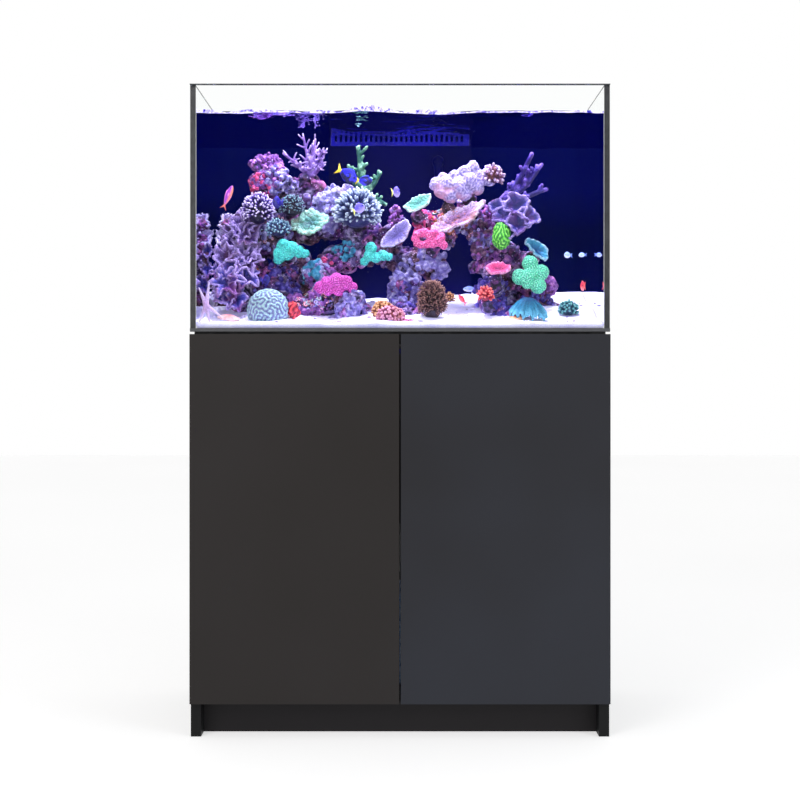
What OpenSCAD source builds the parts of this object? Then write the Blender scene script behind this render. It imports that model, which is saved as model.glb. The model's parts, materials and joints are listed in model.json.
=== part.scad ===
// Reef aquarium on a two-door cabinet, with its weir, plumbing, sump and rockwork.
// Millimetres. X runs to the right, the doors face -Y, +Z is up.
// The origin is on the floor, under the middle of the object.

/* [Overall] */
// Outer width of the tank and the cabinet
width = 900; // [880:10:940]
// Outer depth of the tank and the cabinet
depth = 500; // [490:5:530]
// Height of the cabinet, without the mat
cabinet_h = 865; // [820:5:900]
// Height of the glass tank
tank_h = 530; // [520:5:560]

/* [Cabinet] */
// Thickness of the side panels
side_t = 22; // [20:1:25]
// Thickness of the inner panels
panel_t = 18; // [16:1:19]
// Thickness of the doors
door_t = 18; // [16:1:18]
// Slit between the doors
door_split = 3; // [2:0.5:4]
// Height of the plinth under the doors
plinth_h = 74; // [60:2:90]
// How far the kick board sits behind the case front
plinth_inset = 45; // [30:5:60]
// Thickness of the foam mat
mat_t = 5; // [4:1:6]
// How far the mat stays inside the edges
mat_inset = 9.5; // [5:0.5:12]

/* [Tank] */
// Thickness of the glass walls
wall_t = 12; // [10:1:12]
// Thickness of the glass base
base_t = 8; // [8:1:12]
// Thickness of the silicone between the panes
bond_t = 1; // [0.5:0.5:1.5]
// Width of the overflow box
weir_w = 340; // [330:5:350]
// Depth of the overflow box
weir_d = 140; // [138:1:142]
// Height of the comb's top above the tank base's underside
comb_top = 518; // [510:1:518]
// Height of the comb
comb_h = 62; // [56:1:64]
// Height of the sand at the front glass
sand_front = 14; // [10:1:20]
// Height of the sand at the back glass
sand_back = 100; // [90:1:110]

/* [Plumbing] */
// Outer radius of the pipes
pipe_r = 16; // [15:0.5:16]
// Distance between the pipes
pipe_pitch = 90; // [86:1:92]
// Width of the sump
sump_w = 560; // [550:5:570]
// Height of the sump
sump_h = 360; // [350:5:370]

/* [Hidden] */

clear = 0.3;
x_out = width / 2;
x_case = x_out - side_t;
y_front = -depth / 2;
y_back = depth / 2;
door_gap = 2.5;
y_case = y_front + door_t + door_gap;
top_t = 22;
top_z = cabinet_h - top_t;
tank_z = cabinet_h + mat_t;
tank_top = tank_z + tank_h;
x_in = x_out - wall_t;
y_in = depth / 2 - wall_t;
bed_z = tank_z + base_t;

// Places behind the weir
weir_y = y_in - weir_d;
weir_t = 5;
comb_z = tank_z + comb_top;
pipe_y = weir_y + 44;
bore_r = pipe_r + 5;
pipe_t = 2.5;

// Concealed hinges: u runs inwards from the case side, v backwards from the case front
hinge_z = [plinth_h + 100, (plinth_h + cabinet_h) / 2, cabinet_h - 110];
arm_u = 33.5;
arm_v = -3;
cup_u = 11;
cup_v = -3.6;
cup_mid = 22;
cup_r = 17.4;
cup_deep = 11.5;
pin_r = 1;

// Sump and its neighbours
sump_x = -x_case + 12;
sump_y = y_case + 59.5;
sump_d = 365;
sump_z = plinth_h + panel_t;
sump_t = 6;
baffle_x = [440, 460];
topup_x = sump_x + sump_w + 14;
topup_w = x_case - 12 - topup_x;
sock_x = sump_x + 100;
sock_y = sump_y + 165;
pump_x = pipe_pitch;
pump_y = sump_y + 230;

// ---------- helpers ----------
module span(x0, x1, y0, y1, z0, z1) translate([x0, y0, z0]) cube([x1 - x0, y1 - y0, z1 - z0]);
module sided(s) { if (s > 0) children(); else mirror([1, 0, 0]) children(); }
module rod(x, y, z0, z1, r) translate([x, y, z0]) cylinder(h = z1 - z0, r = r, $fn = 48);
module tube(x, y, z0, z1, r, t) difference() {
    rod(x, y, z0, z1, r);
    rod(x, y, z0 - 1, z1 + 1, r - t);
}
// Right-hand case side: local x is u, y is v, z is up
module at_hinge(s) sided(s) translate([x_out, y_case, 0]) mirror([1, 0, 0]) children();
// Rounded lump through a list of [x, y, z, radius]
module lump(balls) hull() for (b = balls)
    translate([b[0], b[1], bed_z + max(b[2], b[3] + 1)]) sphere(r = b[3], $fn = 12);
module limb(a, b, r0, r1) hull() {
    translate(a) sphere(r = r0, $fn = 8);
    translate(b) sphere(r = r1, $fn = 8);
}
module dish(x, y, z, r, t) translate([x, y, bed_z + z]) cylinder(h = t, r1 = r * 0.55, r2 = r, $fn = 32);

// ---------- cabinet ----------
cam_y = [y_case + 60, y_back - 70];
cam_r = 7.5;
cam_deep = 12;
cam_z = top_z - 34;
cam_x = x_case - 24;
module cam_holes() for (s = [-1, 1], y = cam_y) {
    sided(s) translate([x_case, y, cam_z]) rotate([0, 90, 0])
        cylinder(h = cam_deep, r = cam_r, $fn = 32);
    sided(s) translate([cam_x, y, sump_z - cam_deep]) cylinder(h = cam_deep, r = cam_r, $fn = 32);
}
module side_panel(s) color("#1d1d1f") difference() {
    sided(s) span(x_case, x_out, y_case, y_back, 0, top_z);
    cam_holes();
}
// The cabinet top and the mat are cut away under the bulkheads
notch_x = 150;
notch_y = weir_y + 8;
module cabinet_top() color("#222224") difference() {
    span(-x_out, x_out, y_case, y_back, top_z, cabinet_h);
    span(-notch_x, notch_x, notch_y, y_back + 1, top_z - 1, cabinet_h + 1);
}
module cabinet_floor() color("#222224") difference() {
    span(-x_case, x_case, y_case, y_back - panel_t, plinth_h, plinth_h + panel_t);
    cam_holes();
}
// Between the back panel and the rail a gap stays open for air and cables
back_h = 560;
rail_z = 700;
module back_panel() color("#222224") span(-x_case, x_case, y_back - panel_t, y_back, 0, back_h);
module back_rail() color("#222224") span(-x_case, x_case, y_back - panel_t, y_back, rail_z, top_z);
module kick_board() color("#211f20") translate([0, y_case + plinth_inset, 0])
    span(-x_case, x_case, 0, panel_t, 0, plinth_h);
// Screwdriver slots in the cams
slot_r = 5;
slot_half = 0.8;
slot_deep = 1.5;
module cam_fittings() color("silver") difference() {
    cam_holes();
    for (s = [-1, 1], y = cam_y) {
        sided(s) span(x_case - 1, x_case + slot_deep, y - slot_r, y + slot_r,
            cam_z - slot_half, cam_z + slot_half);
        sided(s) span(cam_x - slot_r, cam_x + slot_r, y - slot_half, y + slot_half,
            sump_z - slot_deep, sump_z + 1);
    }
}

// ---------- doors and hinges ----------
door_w = x_out - door_split / 2;
chamfer = 1;
module door(s) color("#2f2e2d") difference() {
    at_hinge(s) translate([0, -door_gap - door_t, plinth_h]) linear_extrude(cabinet_h - plinth_h) polygon([
        [chamfer, 0], [door_w - chamfer, 0], [door_w, chamfer], [door_w, door_t],
        [0, door_t], [0, chamfer]
    ]);
    for (z = hinge_z) at_hinge(s) translate([cup_mid, -door_gap + 1, z]) rotate([90, 0, 0])
        cylinder(h = cup_deep + 1, r = cup_r + 0.05, $fn = 64);
}
cup_wall = 1.2;
flange_t = 0.8;
module flange_outline() difference() {
    union() {
        circle(r = cup_r + 1, $fn = 64);
        translate([3, -27]) square([13, 54]);
    }
    circle(r = cup_r - cup_wall, $fn = 64);
    for (z = [-22, 22]) translate([9.5, z]) circle(r = 2, $fn = 24);
}
// Steel cup let into the door, with its two-hole flange and the pin that the link turns on
module hinge_cup() {
    translate([cup_mid, -door_gap, 0]) rotate([90, 0, 0]) difference() {
        cylinder(h = cup_deep, r = cup_r, $fn = 64);
        translate([0, 0, -1]) cylinder(h = cup_deep, r = cup_r - cup_wall, $fn = 64);
    }
    translate([cup_mid, -door_gap + flange_t, 0]) rotate([90, 0, 0])
        linear_extrude(flange_t) flange_outline();
    translate([cup_u, cup_v, -13]) cylinder(h = 26, r = pin_r, $fn = 24);
}
module hinge_cups(s) color("silver") for (z = hinge_z) at_hinge(s) translate([0, 0, z]) hinge_cup();

// One link with an eye at each end, between the arm's pin and the cup's pin
link_len = norm([arm_u - cup_u, arm_v - cup_v]);
link_turn = atan2(cup_v - arm_v, cup_u - arm_u);
link_h = 10;
link_t = 1.8;
pin_fit = 0.06;
module hinge_link() translate([arm_u, arm_v, -link_h / 2]) rotate([0, 0, link_turn]) difference() {
    union() {
        cylinder(h = link_h, r = 2.1, $fn = 32);
        translate([link_len, 0, 0]) cylinder(h = link_h, r = 2, $fn = 32);
        translate([0, -link_t / 2, 0]) cube([link_len, link_t, link_h]);
    }
    for (x = [0, link_len]) translate([x, 0, -1]) cylinder(h = link_h + 2, r = pin_r + pin_fit, $fn = 24);
}
module hinge_links(s) color("silver") for (z = hinge_z) at_hinge(s) translate([0, 0, z]) hinge_link();

// Arm that reaches forward from a plate on the side panel, with a forked end
arm_half = 8;
eye_r = 2.2;
fork_t = 2.7;
fork_z = [-arm_half, arm_half - fork_t];
plate_t = 3;
screw_y = 42;
screw_z = [-16, 16];
screw_r = 2.4;
module hinge_arm() {
    difference() {
        union() {
            translate([side_t, 22, -22]) cube([plate_t, 40, 44]);
            translate([side_t + plate_t, 24, -arm_half + 1]) cube([10, 36, 2 * arm_half - 2]);
            translate([arm_u - 3.5, 3, -arm_half]) cube([7, 48, 2 * arm_half]);
            for (z = fork_z) translate([arm_u, arm_v, z]) cylinder(h = fork_t, r = eye_r, $fn = 32);
            for (z = fork_z) translate([arm_u - eye_r, arm_v, z]) cube([2 * eye_r, 7, fork_t]);
        }
        for (z = screw_z) translate([side_t - 1, screw_y, z]) rotate([0, 90, 0])
            cylinder(h = 2 * plate_t, r = screw_r, $fn = 24);
    }
    translate([arm_u, arm_v, -arm_half]) cylinder(h = 2 * arm_half, r = pin_r, $fn = 24);
    for (z = screw_z) translate([side_t, screw_y, z]) rotate([0, 90, 0]) {
        cylinder(h = plate_t, r = screw_r, $fn = 24);
        translate([0, 0, plate_t]) cylinder(h = 1.8, r = 4.2, $fn = 32);
    }
}
module hinge_arms(s) color("silver") for (z = hinge_z) at_hinge(s) translate([0, 0, z]) hinge_arm();

// Push-to-open latches under the cabinet top
latch_x = 34;
latch_z = top_z - 12;
plunger_r = 4;
plunger_tip = y_case - door_gap + 1.4;
module latch_bodies() color("#3a3a3d") for (s = [-1, 1]) difference() {
    sided(s) span(latch_x - 9, latch_x + 9, y_case + 4, y_case + 74, top_z - 22, top_z);
    sided(s) translate([latch_x, y_case + 64, latch_z]) rotate([90, 0, 0])
        cylinder(h = 70, r = plunger_r + 0.1, $fn = 32);
}
module latch_plunger(s) color("#8f9195") sided(s) translate([latch_x, y_case + 58, latch_z])
    rotate([90, 0, 0]) cylinder(h = y_case + 58 - plunger_tip, r = plunger_r, $fn = 32);
module strike(s) color("silver") sided(s)
    span(latch_x - 8, latch_x + 8, y_case - door_gap, y_case - door_gap + 1, latch_z - 8, latch_z + 8);

// ---------- tank ----------
module levelling_mat() color("#3f3f41") difference() {
    span(-x_out + mat_inset, x_out - mat_inset, y_front + mat_inset, y_back - mat_inset, cabinet_h, tank_z);
    span(-notch_x, notch_x, notch_y, y_back, cabinet_h - 1, tank_z + 1);
}
module glass_front() color("#a9c4cc", 0.3) span(-x_out, x_out, y_front, -y_in, tank_z, tank_top);
film_t = 0.5;
module glass_back() color("#a9c4cc", 0.3) span(-x_out, x_out, y_in, y_back - film_t, tank_z, tank_top);
module glass_side(s) color("#a9c4cc", 0.3) sided(s)
    span(x_in, x_out, -y_in + bond_t, y_in - bond_t, tank_z, tank_top);
module glass_base() color("#a9c4cc", 0.3) difference() {
    span(-x_in + bond_t, x_in - bond_t, -y_in + bond_t, y_in - bond_t, tank_z, bed_z);
    for (i = [-1, 0, 1]) rod(i * pipe_pitch, pipe_y, tank_z - 1, bed_z + 1, bore_r);
}
module silicone_seams() color("#2b2b2c") {
    for (s = [-1, 1], y = [-y_in, y_in - bond_t]) sided(s) span(x_in, x_out, y, y + bond_t, tank_z, tank_top);
    difference() {
        span(-x_in, x_in, -y_in, y_in, tank_z, bed_z);
        span(-x_in + bond_t, x_in - bond_t, -y_in + bond_t, y_in - bond_t, tank_z - 1, bed_z + 1);
    }
}
module back_film() color("#0a0a24") span(-x_out, x_out, y_back - film_t, y_back, tank_z, tank_top);

// ---------- overflow box ----------
weir_x = weir_w / 2;
comb_foot = comb_z - comb_h;
module weir_box() color("#15151a") {
    for (s = [-1, 1]) sided(s) span(weir_x - weir_t, weir_x, weir_y, y_in, bed_z, comb_z);
    difference() {
        span(-weir_x, weir_x, weir_y, weir_y + weir_t, bed_z, comb_foot);
        spout(weir_y - 1, weir_y + weir_t + 1, elbow_r + 0.2);
    }
}
comb_x = weir_x - weir_t - clear;
tooth_pitch = 12;
tooth_gap = 6;
comb_frame = 10;
module weir_comb() color("#2b3fd0") difference() {
    span(-comb_x, comb_x, weir_y, weir_y + weir_t - 1, comb_foot + clear, comb_z);
    for (x = [-comb_x + tooth_pitch : tooth_pitch : comb_x - tooth_pitch]) span(
        x - tooth_gap / 2, x + tooth_gap / 2, weir_y - 1, weir_y + weir_t,
        comb_foot + comb_frame, comb_z - comb_frame);
}
lid_t = 4;
finger_r = 12;
module weir_lid() color("#15151a") difference() {
    span(-weir_x, weir_x, weir_y + weir_t + clear, y_in - 1, comb_z, comb_z + lid_t);
    for (s = [-1, 1]) rod(s * 110, pipe_y, comb_z - 1, comb_z + lid_t + 1, finger_r);
}

// ---------- plumbing ----------
flange_r = bore_r + 9;
module bulkheads() color("#2e2f33") for (i = [-1, 0, 1]) difference() {
    union() {
        rod(i * pipe_pitch, pipe_y, bed_z - 46, bed_z + 8, bore_r - 0.2);
        rod(i * pipe_pitch, pipe_y, bed_z, bed_z + 7, flange_r);
        translate([i * pipe_pitch, pipe_y, tank_z - 14]) cylinder(h = 14, r = flange_r, $fn = 6);
    }
    rod(i * pipe_pitch, pipe_y, bed_z - 47, bed_z + 9, pipe_r);
}
stub = bed_z - 20;
module standpipe_main() color("#26272b") difference() {
    tube(-pipe_pitch, pipe_y, stub, tank_z + 400, pipe_r, pipe_t);
    for (a = [0, 60, 120]) translate([-pipe_pitch, pipe_y, tank_z + 380]) rotate([90, 0, a])
        cylinder(h = 60, r = 4, center = true, $fn = 24);
}
module standpipe_spare() color("#26272b") tube(0, pipe_y, stub, tank_z + 455, pipe_r, pipe_t);
// The return pipe leaves through the weir's front wall, where the nozzle turns on its spigot
elbow_z = comb_foot - 40;
elbow_r = 10;
spigot_r = 7;
collar_y = weir_y - 6;
module spout(y0, y1, r) translate([pipe_pitch, y1, elbow_z]) rotate([90, 0, 0])
    cylinder(h = y1 - y0, r = r, $fn = 48);
module return_riser() color("#26272b") {
    tube(pipe_pitch, pipe_y, stub, elbow_z - 20, pipe_r, pipe_t);
    rod(pipe_pitch, pipe_y, elbow_z - 20, elbow_z + 18, pipe_r);
    spout(collar_y, pipe_y, elbow_r);
    spout(collar_y - 12, collar_y, spigot_r);
}
nozzle_y = collar_y - clear;
nozzle_tilt = 62;
knuckle_r = 14;
module nozzle_tip(z0, z1, r0, r1) translate([pipe_pitch, nozzle_y - 13, elbow_z])
    rotate([90 + nozzle_tilt, 0, 0]) translate([0, 0, z0]) cylinder(h = z1 - z0, r1 = r0, r2 = r1, $fn = 48);
module return_nozzle() color("#26272b") difference() {
    union() {
        spout(nozzle_y - knuckle_r, nozzle_y, knuckle_r);
        translate([pipe_pitch, nozzle_y - knuckle_r, elbow_z]) sphere(r = knuckle_r, $fn = 48);
        nozzle_tip(0, 56, 11, 9);
    }
    spout(nozzle_y - 12.5, nozzle_y + 1, spigot_r + pin_fit);
    nozzle_tip(30, 60, 6.5, 6.5);
}
// Valve in the main drain, with a lever on its stem
below = bed_z - 22;
valve_z = 640;
valve_r = 26;
neck = 10;
stem_y = pipe_y - valve_r - neck;
stem_r = 5;
hub_t = 12;
lever_t = 8;
lever_len = 62;
lever_r = 7;
module valve_axis(y, z, h, r) translate([-pipe_pitch, y, z]) rotate([90, 0, 0])
    cylinder(h = h, r = r, $fn = 32);
module drain_pipe() color("#3a3b40") {
    tube(-pipe_pitch, pipe_y, sump_z + 250, below, pipe_r, pipe_t);
    rod(-pipe_pitch, pipe_y, valve_z - 34, valve_z + 34, valve_r);
    valve_axis(pipe_y, valve_z, valve_r + neck, 11);
    valve_axis(stem_y, valve_z, 14, stem_r);
}
hub_y = stem_y - clear;
lever_y = hub_y - hub_t + lever_t;
module valve_handle() color("#b5261f") difference() {
    union() {
        valve_axis(hub_y, valve_z, hub_t, 13);
        span(-pipe_pitch - lever_r, -pipe_pitch + lever_r, lever_y - lever_t, lever_y,
            valve_z - lever_len, valve_z);
        valve_axis(lever_y, valve_z - lever_len, lever_t, lever_r);
    }
    valve_axis(stem_y + 1, valve_z, 30, stem_r + pin_fit);
}
module spare_drain_pipe() color("#3a3b40") tube(0, pipe_y, sump_z + 220, below, pipe_r, pipe_t);
pump_out_z = sump_z + 130;
run_z = 470;
module return_pipe() color("#3a3b40") difference() {
    union() {
        rod(pipe_pitch, pipe_y, run_z, below, pipe_r);
        translate([pipe_pitch, pipe_y, run_z]) sphere(r = pipe_r + 3, $fn = 32);
        translate([pump_x, pump_y, run_z]) sphere(r = pipe_r + 3, $fn = 32);
        translate([pump_x, pipe_y, run_z]) rotate([90, 0, 0])
            cylinder(h = pipe_y - pump_y, r = pipe_r, $fn = 32);
        rod(pump_x, pump_y, pump_out_z, run_z, pipe_r - 2);
        rod(pipe_pitch, pipe_y, 690, 740, pipe_r + 7);
    }
    rod(pipe_pitch, pipe_y, 500, below + 1, pipe_r - pipe_t);
}

// ---------- sump ----------
module sump_tank() color("#9fb6bd", 0.4) translate([sump_x, sump_y, sump_z]) {
    difference() {
        cube([sump_w, sump_d, sump_h]);
        translate([sump_t, sump_t, sump_t]) cube([sump_w - 2 * sump_t, sump_d - 2 * sump_t, sump_h]);
    }
    translate([baffle_x[0], sump_t, sump_t]) cube([sump_t, sump_d - 2 * sump_t, 250]);
    translate([baffle_x[1], sump_t, sump_t + 40]) cube([sump_t, sump_d - 2 * sump_t, 230]);
}
holder_z = sump_z + sump_h - 60;
sock_r = 50;
module sock_holder() color("#202124") difference() {
    span(sump_x + sump_t, sump_x + 188, sump_y + sump_t, sump_y + sump_d - sump_t, holder_z, holder_z + 6);
    rod(sock_x, sock_y, holder_z - 1, holder_z + 7, sock_r + 1);
}
module filter_sock() color("#f2f2ee") difference() {
    union() {
        rod(sock_x, sock_y, holder_z - 190, holder_z + 6 + clear, sock_r);
        rod(sock_x, sock_y, holder_z + 6 + clear, holder_z + 14, sock_r + 9);
    }
    rod(sock_x, sock_y, holder_z - 184, holder_z + 15, sock_r - 4);
}
wheel_r = 22;
wheel_z = sump_z + 56;
volute_y = pump_y - 20;
axle_r = 1.5;
module pump_axis(y0, y1, r) translate([pump_x, y1, wheel_z]) rotate([90, 0, 0])
    cylinder(h = y1 - y0, r = r, $fn = 48);
module pump_body() color("#26272b") {
    difference() {
        union() {
            span(pump_x - 38, pump_x + 38, volute_y, pump_y + 60, sump_z + sump_t, sump_z + 100);
            pump_axis(volute_y - 34, volute_y, 36);
            rod(pump_x, pump_y, sump_z + 99, pump_out_z, pipe_r - 2);
        }
        pump_axis(volute_y - 29, volute_y - 2, wheel_r + 4);
        pump_axis(volute_y - 40, volute_y - 10, 12);
    }
    pump_axis(volute_y - 24, volute_y, axle_r);
}
module pump_impeller() color("#d8d8d8") difference() {
    union() {
        pump_axis(volute_y - 8, volute_y - 4, wheel_r);
        pump_axis(volute_y - 22, volute_y - 4, 5);
        for (i = [0 : 5]) translate([pump_x, volute_y - 4, wheel_z]) rotate([90, i * 60, 0])
            translate([4, -1, 0]) cube([wheel_r - 4.5, 2, 16]);
    }
    pump_axis(volute_y - 30, volute_y, axle_r + pin_fit);
}
topup_h = 330;
topup_t = 4;
module topup_tank() color("#2b2c30") translate([topup_x, sump_y, sump_z]) difference() {
    cube([topup_w, sump_d, topup_h]);
    translate([topup_t, topup_t, topup_t])
        cube([topup_w - 2 * topup_t, sump_d - 2 * topup_t, topup_h]);
}
// Float valve: a bracket hung over the sump wall carries the pin that the float's arm turns on
bracket_x = sump_x + sump_w - sump_t;
float_y = sump_y + 130;
float_z = sump_z + 236;
float_pin_r = 2.5;
module float_axis(x0, x1, r) translate([x0, float_y, float_z]) rotate([0, 90, 0])
    cylinder(h = x1 - x0, r = r, $fn = 32);
module float_valve() color("#e8e8e6") {
    span(bracket_x - 12, bracket_x, float_y - 12, float_y + 12, float_z - 14, sump_z + sump_h + 6);
    span(bracket_x - 1, bracket_x + 14, float_y - 12, float_y + 12, sump_z + sump_h, sump_z + sump_h + 6);
    float_axis(bracket_x - 33, bracket_x - 11, float_pin_r);
    float_axis(bracket_x - 36, bracket_x - 32, 4);
}
module float_arm() color("#d9d9d6") difference() {
    union() {
        float_axis(bracket_x - 31, bracket_x - 13, 6);
        span(bracket_x - 25, bracket_x - 19, float_y - 60, float_y - 3, float_z - 3, float_z + 3);
        translate([bracket_x - 22, float_y - 74, float_z - 6]) sphere(r = 19, $fn = 48);
    }
    float_axis(bracket_x - 34, bracket_x - 12, float_pin_r + pin_fit);
}

// ---------- reef ----------
// The sand is banked up towards the back and shaped around the overflow box
module sand_bed() color("#ece8f2") difference() {
    translate([x_in, 0, 0]) rotate([0, -90, 0]) linear_extrude(2 * x_in) polygon([
        [bed_z, -y_in], [bed_z, y_in], [bed_z + sand_back, y_in], [bed_z + sand_back - 6, 50],
        [bed_z + sand_front + 20, -150], [bed_z + sand_front, -y_in]
    ]);
    span(-weir_x, weir_x, weir_y, y_in + 1, bed_z - 1, bed_z + sand_back + 1);
}
module rock_left() color("#7d6f95") {
    lump([[-330, -10, 40, 60], [-250, 0, 50, 66], [-370, 20, 60, 46]]);
    lump([[-300, 10, 110, 62], [-345, 20, 150, 44]]);
    lump([[-300, 20, 210, 46], [-262, 20, 250, 34]]);
    lump([[-250, 20, 170, 50], [-214, 30, 240, 40]]);
    lump([[-206, 30, 300, 34], [-215, 30, 340, 24]]);
    lump([[-300, 20, 290, 36], [-305, 20, 330, 24]]);
}
module rock_middle() color("#8a7ea6") {
    lump([[-180, 0, 60, 60], [-190, 10, 120, 50]]);
    lump([[-150, -30, 30, 46], [-90, -20, 30, 50]]);
    lump([[-150, 30, 170, 46], [-90, 20, 190, 48]]);
    lump([[-100, 10, 250, 42], [-60, 10, 220, 40]]);
    lump([[-30, 0, 180, 34], [10, 0, 170, 36]]);
    lump([[-80, 20, 320, 26], [-70, 20, 350, 16]]);
}
module rock_right() color("#9184ab") {
    lump([[20, -20, 40, 60], [20, -10, 110, 40], [40, 0, 160, 36]]);
    lump([[75, 0, 150, 36], [110, 0, 210, 34], [60, 10, 240, 34]]);
    lump([[100, 10, 260, 30], [180, 20, 270, 30]]);
    lump([[190, 10, 240, 34], [250, 10, 190, 44]]);
    lump([[230, 0, 50, 60], [300, 0, 50, 56], [250, 0, 130, 50]]);
    lump([[150, 0, 30, 40], [220, 0, 30, 44], [300, 10, 100, 46]]);
    lump([[230, 20, 250, 34], [250, 20, 280, 24]]);
}
module brain_corals() color("#79c9b4") {
    translate([-290, -120, bed_z + 46]) sphere(r = 44, $fn = 32);
    translate([-146, -90, bed_z + 104]) sphere(r = 42, $fn = 32);
    translate([72, -60, bed_z + 208]) sphere(r = 40, $fn = 32);
    translate([298, -70, bed_z + 132]) sphere(r = 42, $fn = 32);
    translate([72, -110, bed_z + 56]) sphere(r = 42, $fn = 32);
}
module bushy_coral() color("#a9b8b0") translate([-97, -44, bed_z + 276]) sphere(r = 55, $fn = 32);
module branching_corals() color("#7a4fa8") {
    for (e = [[-262, 400, -10], [-232, 436, 0], [-190, 430, 10], [-168, 405, 0]])
        limb([-212, 20, bed_z + 355], [e[0], 10 + e[2], bed_z + e[1]], 16, 7);
    for (e = [[-118, 400], [-84, 424], [-44, 404]])
        limb([-78, 10, bed_z + 345], [e[0], 0, bed_z + e[1]], 18, 9);
    for (e = [[330, 352], [300, 400], [252, 330]])
        limb([236, 10, bed_z + 292], [e[0], 0, bed_z + e[1]], 18, 8);
}
module plate_corals() color("#d8d2e8") {
    dish(150, -20, 290, 72, 26);
    dish(-206, -40, 228, 42, 18);
    dish(-252, -60, 172, 44, 18);
    dish(-48, -60, 160, 44, 18);
    dish(42, -30, 280, 34, 14);
    dish(-42, -50, 240, 30, 14);
}
module leaf_corals() color("#b58bc4") {
    lump([[-378, -40, 220, 24], [-350, -20, 130, 26]]);
    lump([[-392, -70, 110, 26], [-350, -40, 90, 26]]);
    lump([[262, -50, 250, 30], [230, -40, 210, 26]]);
    lump([[290, -110, 40, 26], [290, -80, 70, 26]]);
}

side_panel(-1);  // side_panel_left
side_panel(1);  // side_panel_right
cabinet_top();
cabinet_floor();
back_panel();
back_rail();
kick_board();
cam_fittings();
door(-1);  // door_left
door(1);  // door_right
hinge_cups(-1);  // hinge_cups_left
hinge_cups(1);  // hinge_cups_right
hinge_links(-1);  // hinge_links_left
hinge_links(1);  // hinge_links_right
hinge_arms(-1);  // hinge_arms_left
hinge_arms(1);  // hinge_arms_right
latch_bodies();
latch_plunger(-1);  // latch_plunger_left
latch_plunger(1);  // latch_plunger_right
strike(-1);  // strike_left
strike(1);  // strike_right
levelling_mat();
glass_front();
glass_back();
glass_side(-1);  // glass_left
glass_side(1);  // glass_right
glass_base();
silicone_seams();
back_film();
weir_box();
weir_comb();
weir_lid();
bulkheads();
standpipe_main();
standpipe_spare();
return_riser();
return_nozzle();
drain_pipe();
valve_handle();
spare_drain_pipe();
return_pipe();
sump_tank();
sock_holder();
filter_sock();
pump_body();
pump_impeller();
float_valve();
float_arm();
topup_tank();
sand_bed();
rock_left();
rock_middle();
rock_right();
brain_corals();
bushy_coral();
branching_corals();
plate_corals();
leaf_corals();
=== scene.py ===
"""Looks of a reef aquarium on a two-door cabinet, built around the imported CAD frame, in metres."""
import json
import math
import random

import bmesh
import bpy
import numpy as np
from mathutils import Matrix, Vector, noise
from mathutils.kdtree import KDTree

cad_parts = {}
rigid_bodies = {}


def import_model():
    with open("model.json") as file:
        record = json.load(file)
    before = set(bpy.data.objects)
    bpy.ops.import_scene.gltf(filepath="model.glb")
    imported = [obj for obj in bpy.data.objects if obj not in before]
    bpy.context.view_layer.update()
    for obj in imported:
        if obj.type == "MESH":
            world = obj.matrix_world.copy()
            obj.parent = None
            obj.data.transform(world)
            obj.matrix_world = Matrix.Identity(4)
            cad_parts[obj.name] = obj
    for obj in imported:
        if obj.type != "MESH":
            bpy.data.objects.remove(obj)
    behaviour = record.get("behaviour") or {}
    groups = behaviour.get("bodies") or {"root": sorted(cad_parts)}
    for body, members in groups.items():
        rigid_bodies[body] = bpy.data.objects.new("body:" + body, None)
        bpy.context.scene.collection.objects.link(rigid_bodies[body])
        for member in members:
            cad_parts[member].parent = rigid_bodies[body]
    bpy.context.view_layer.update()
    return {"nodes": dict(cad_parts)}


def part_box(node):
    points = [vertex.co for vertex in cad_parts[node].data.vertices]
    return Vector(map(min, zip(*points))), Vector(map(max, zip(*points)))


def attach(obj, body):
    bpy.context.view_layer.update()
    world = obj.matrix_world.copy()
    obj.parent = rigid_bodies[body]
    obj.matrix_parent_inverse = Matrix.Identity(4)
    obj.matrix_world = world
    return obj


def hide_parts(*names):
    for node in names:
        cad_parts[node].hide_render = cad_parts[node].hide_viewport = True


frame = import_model()
NODES = frame["nodes"]

# ---------- places taken from the frame ----------
GLASS_LOW, GLASS_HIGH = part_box("glass_front")
HALF_W = GLASS_HIGH[0]
FRONT_Y = GLASS_LOW[1]
RIM_Z = GLASS_HIGH[2]
TANK_Z = GLASS_LOW[2]
BED_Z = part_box("glass_base")[1][2]
INNER_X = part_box("glass_right")[0][0]
INNER_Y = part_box("glass_back")[0][1]
WEIR_LOW, WEIR_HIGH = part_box("weir_box")
FREEBOARD = 0.056
WATER_Z = RIM_Z - FREEBOARD


# ---------- camera, stage and lights ----------
CAMERA_DISTANCE = 3.0
CAMERA_Y = FRONT_Y - CAMERA_DISTANCE
CAMERA_Z = 0.754
LENS = 63.2
SENSOR = 36
HORIZON_SHIFT = -0.0175

# Share of the white surroundings that lights diffuse surfaces.
WORLD_LIGHT = 0.36


def make_camera():
    cam = bpy.data.cameras.new("camera")
    cam.lens = LENS
    cam.sensor_width = SENSOR
    cam.shift_y = HORIZON_SHIFT
    obj = bpy.data.objects.new("camera", cam)
    obj.location = (0, CAMERA_Y, CAMERA_Z)
    obj.rotation_euler = (math.pi / 2, 0, 0)
    bpy.context.scene.collection.objects.link(obj)
    bpy.context.scene.camera = obj


def area_light(name, place, aim, size, power, color, spread=180):
    data = bpy.data.lights.new(name, "AREA")
    data.shape = "RECTANGLE"
    data.size, data.size_y = size
    data.energy = power
    data.color = color
    data.spread = math.radians(spread)
    obj = bpy.data.objects.new(name, data)
    obj.location = place
    obj.rotation_euler = (Vector(aim) - Vector(place)).to_track_quat("-Z", "Y").to_euler()
    bpy.context.scene.collection.objects.link(obj)
    return obj


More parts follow.
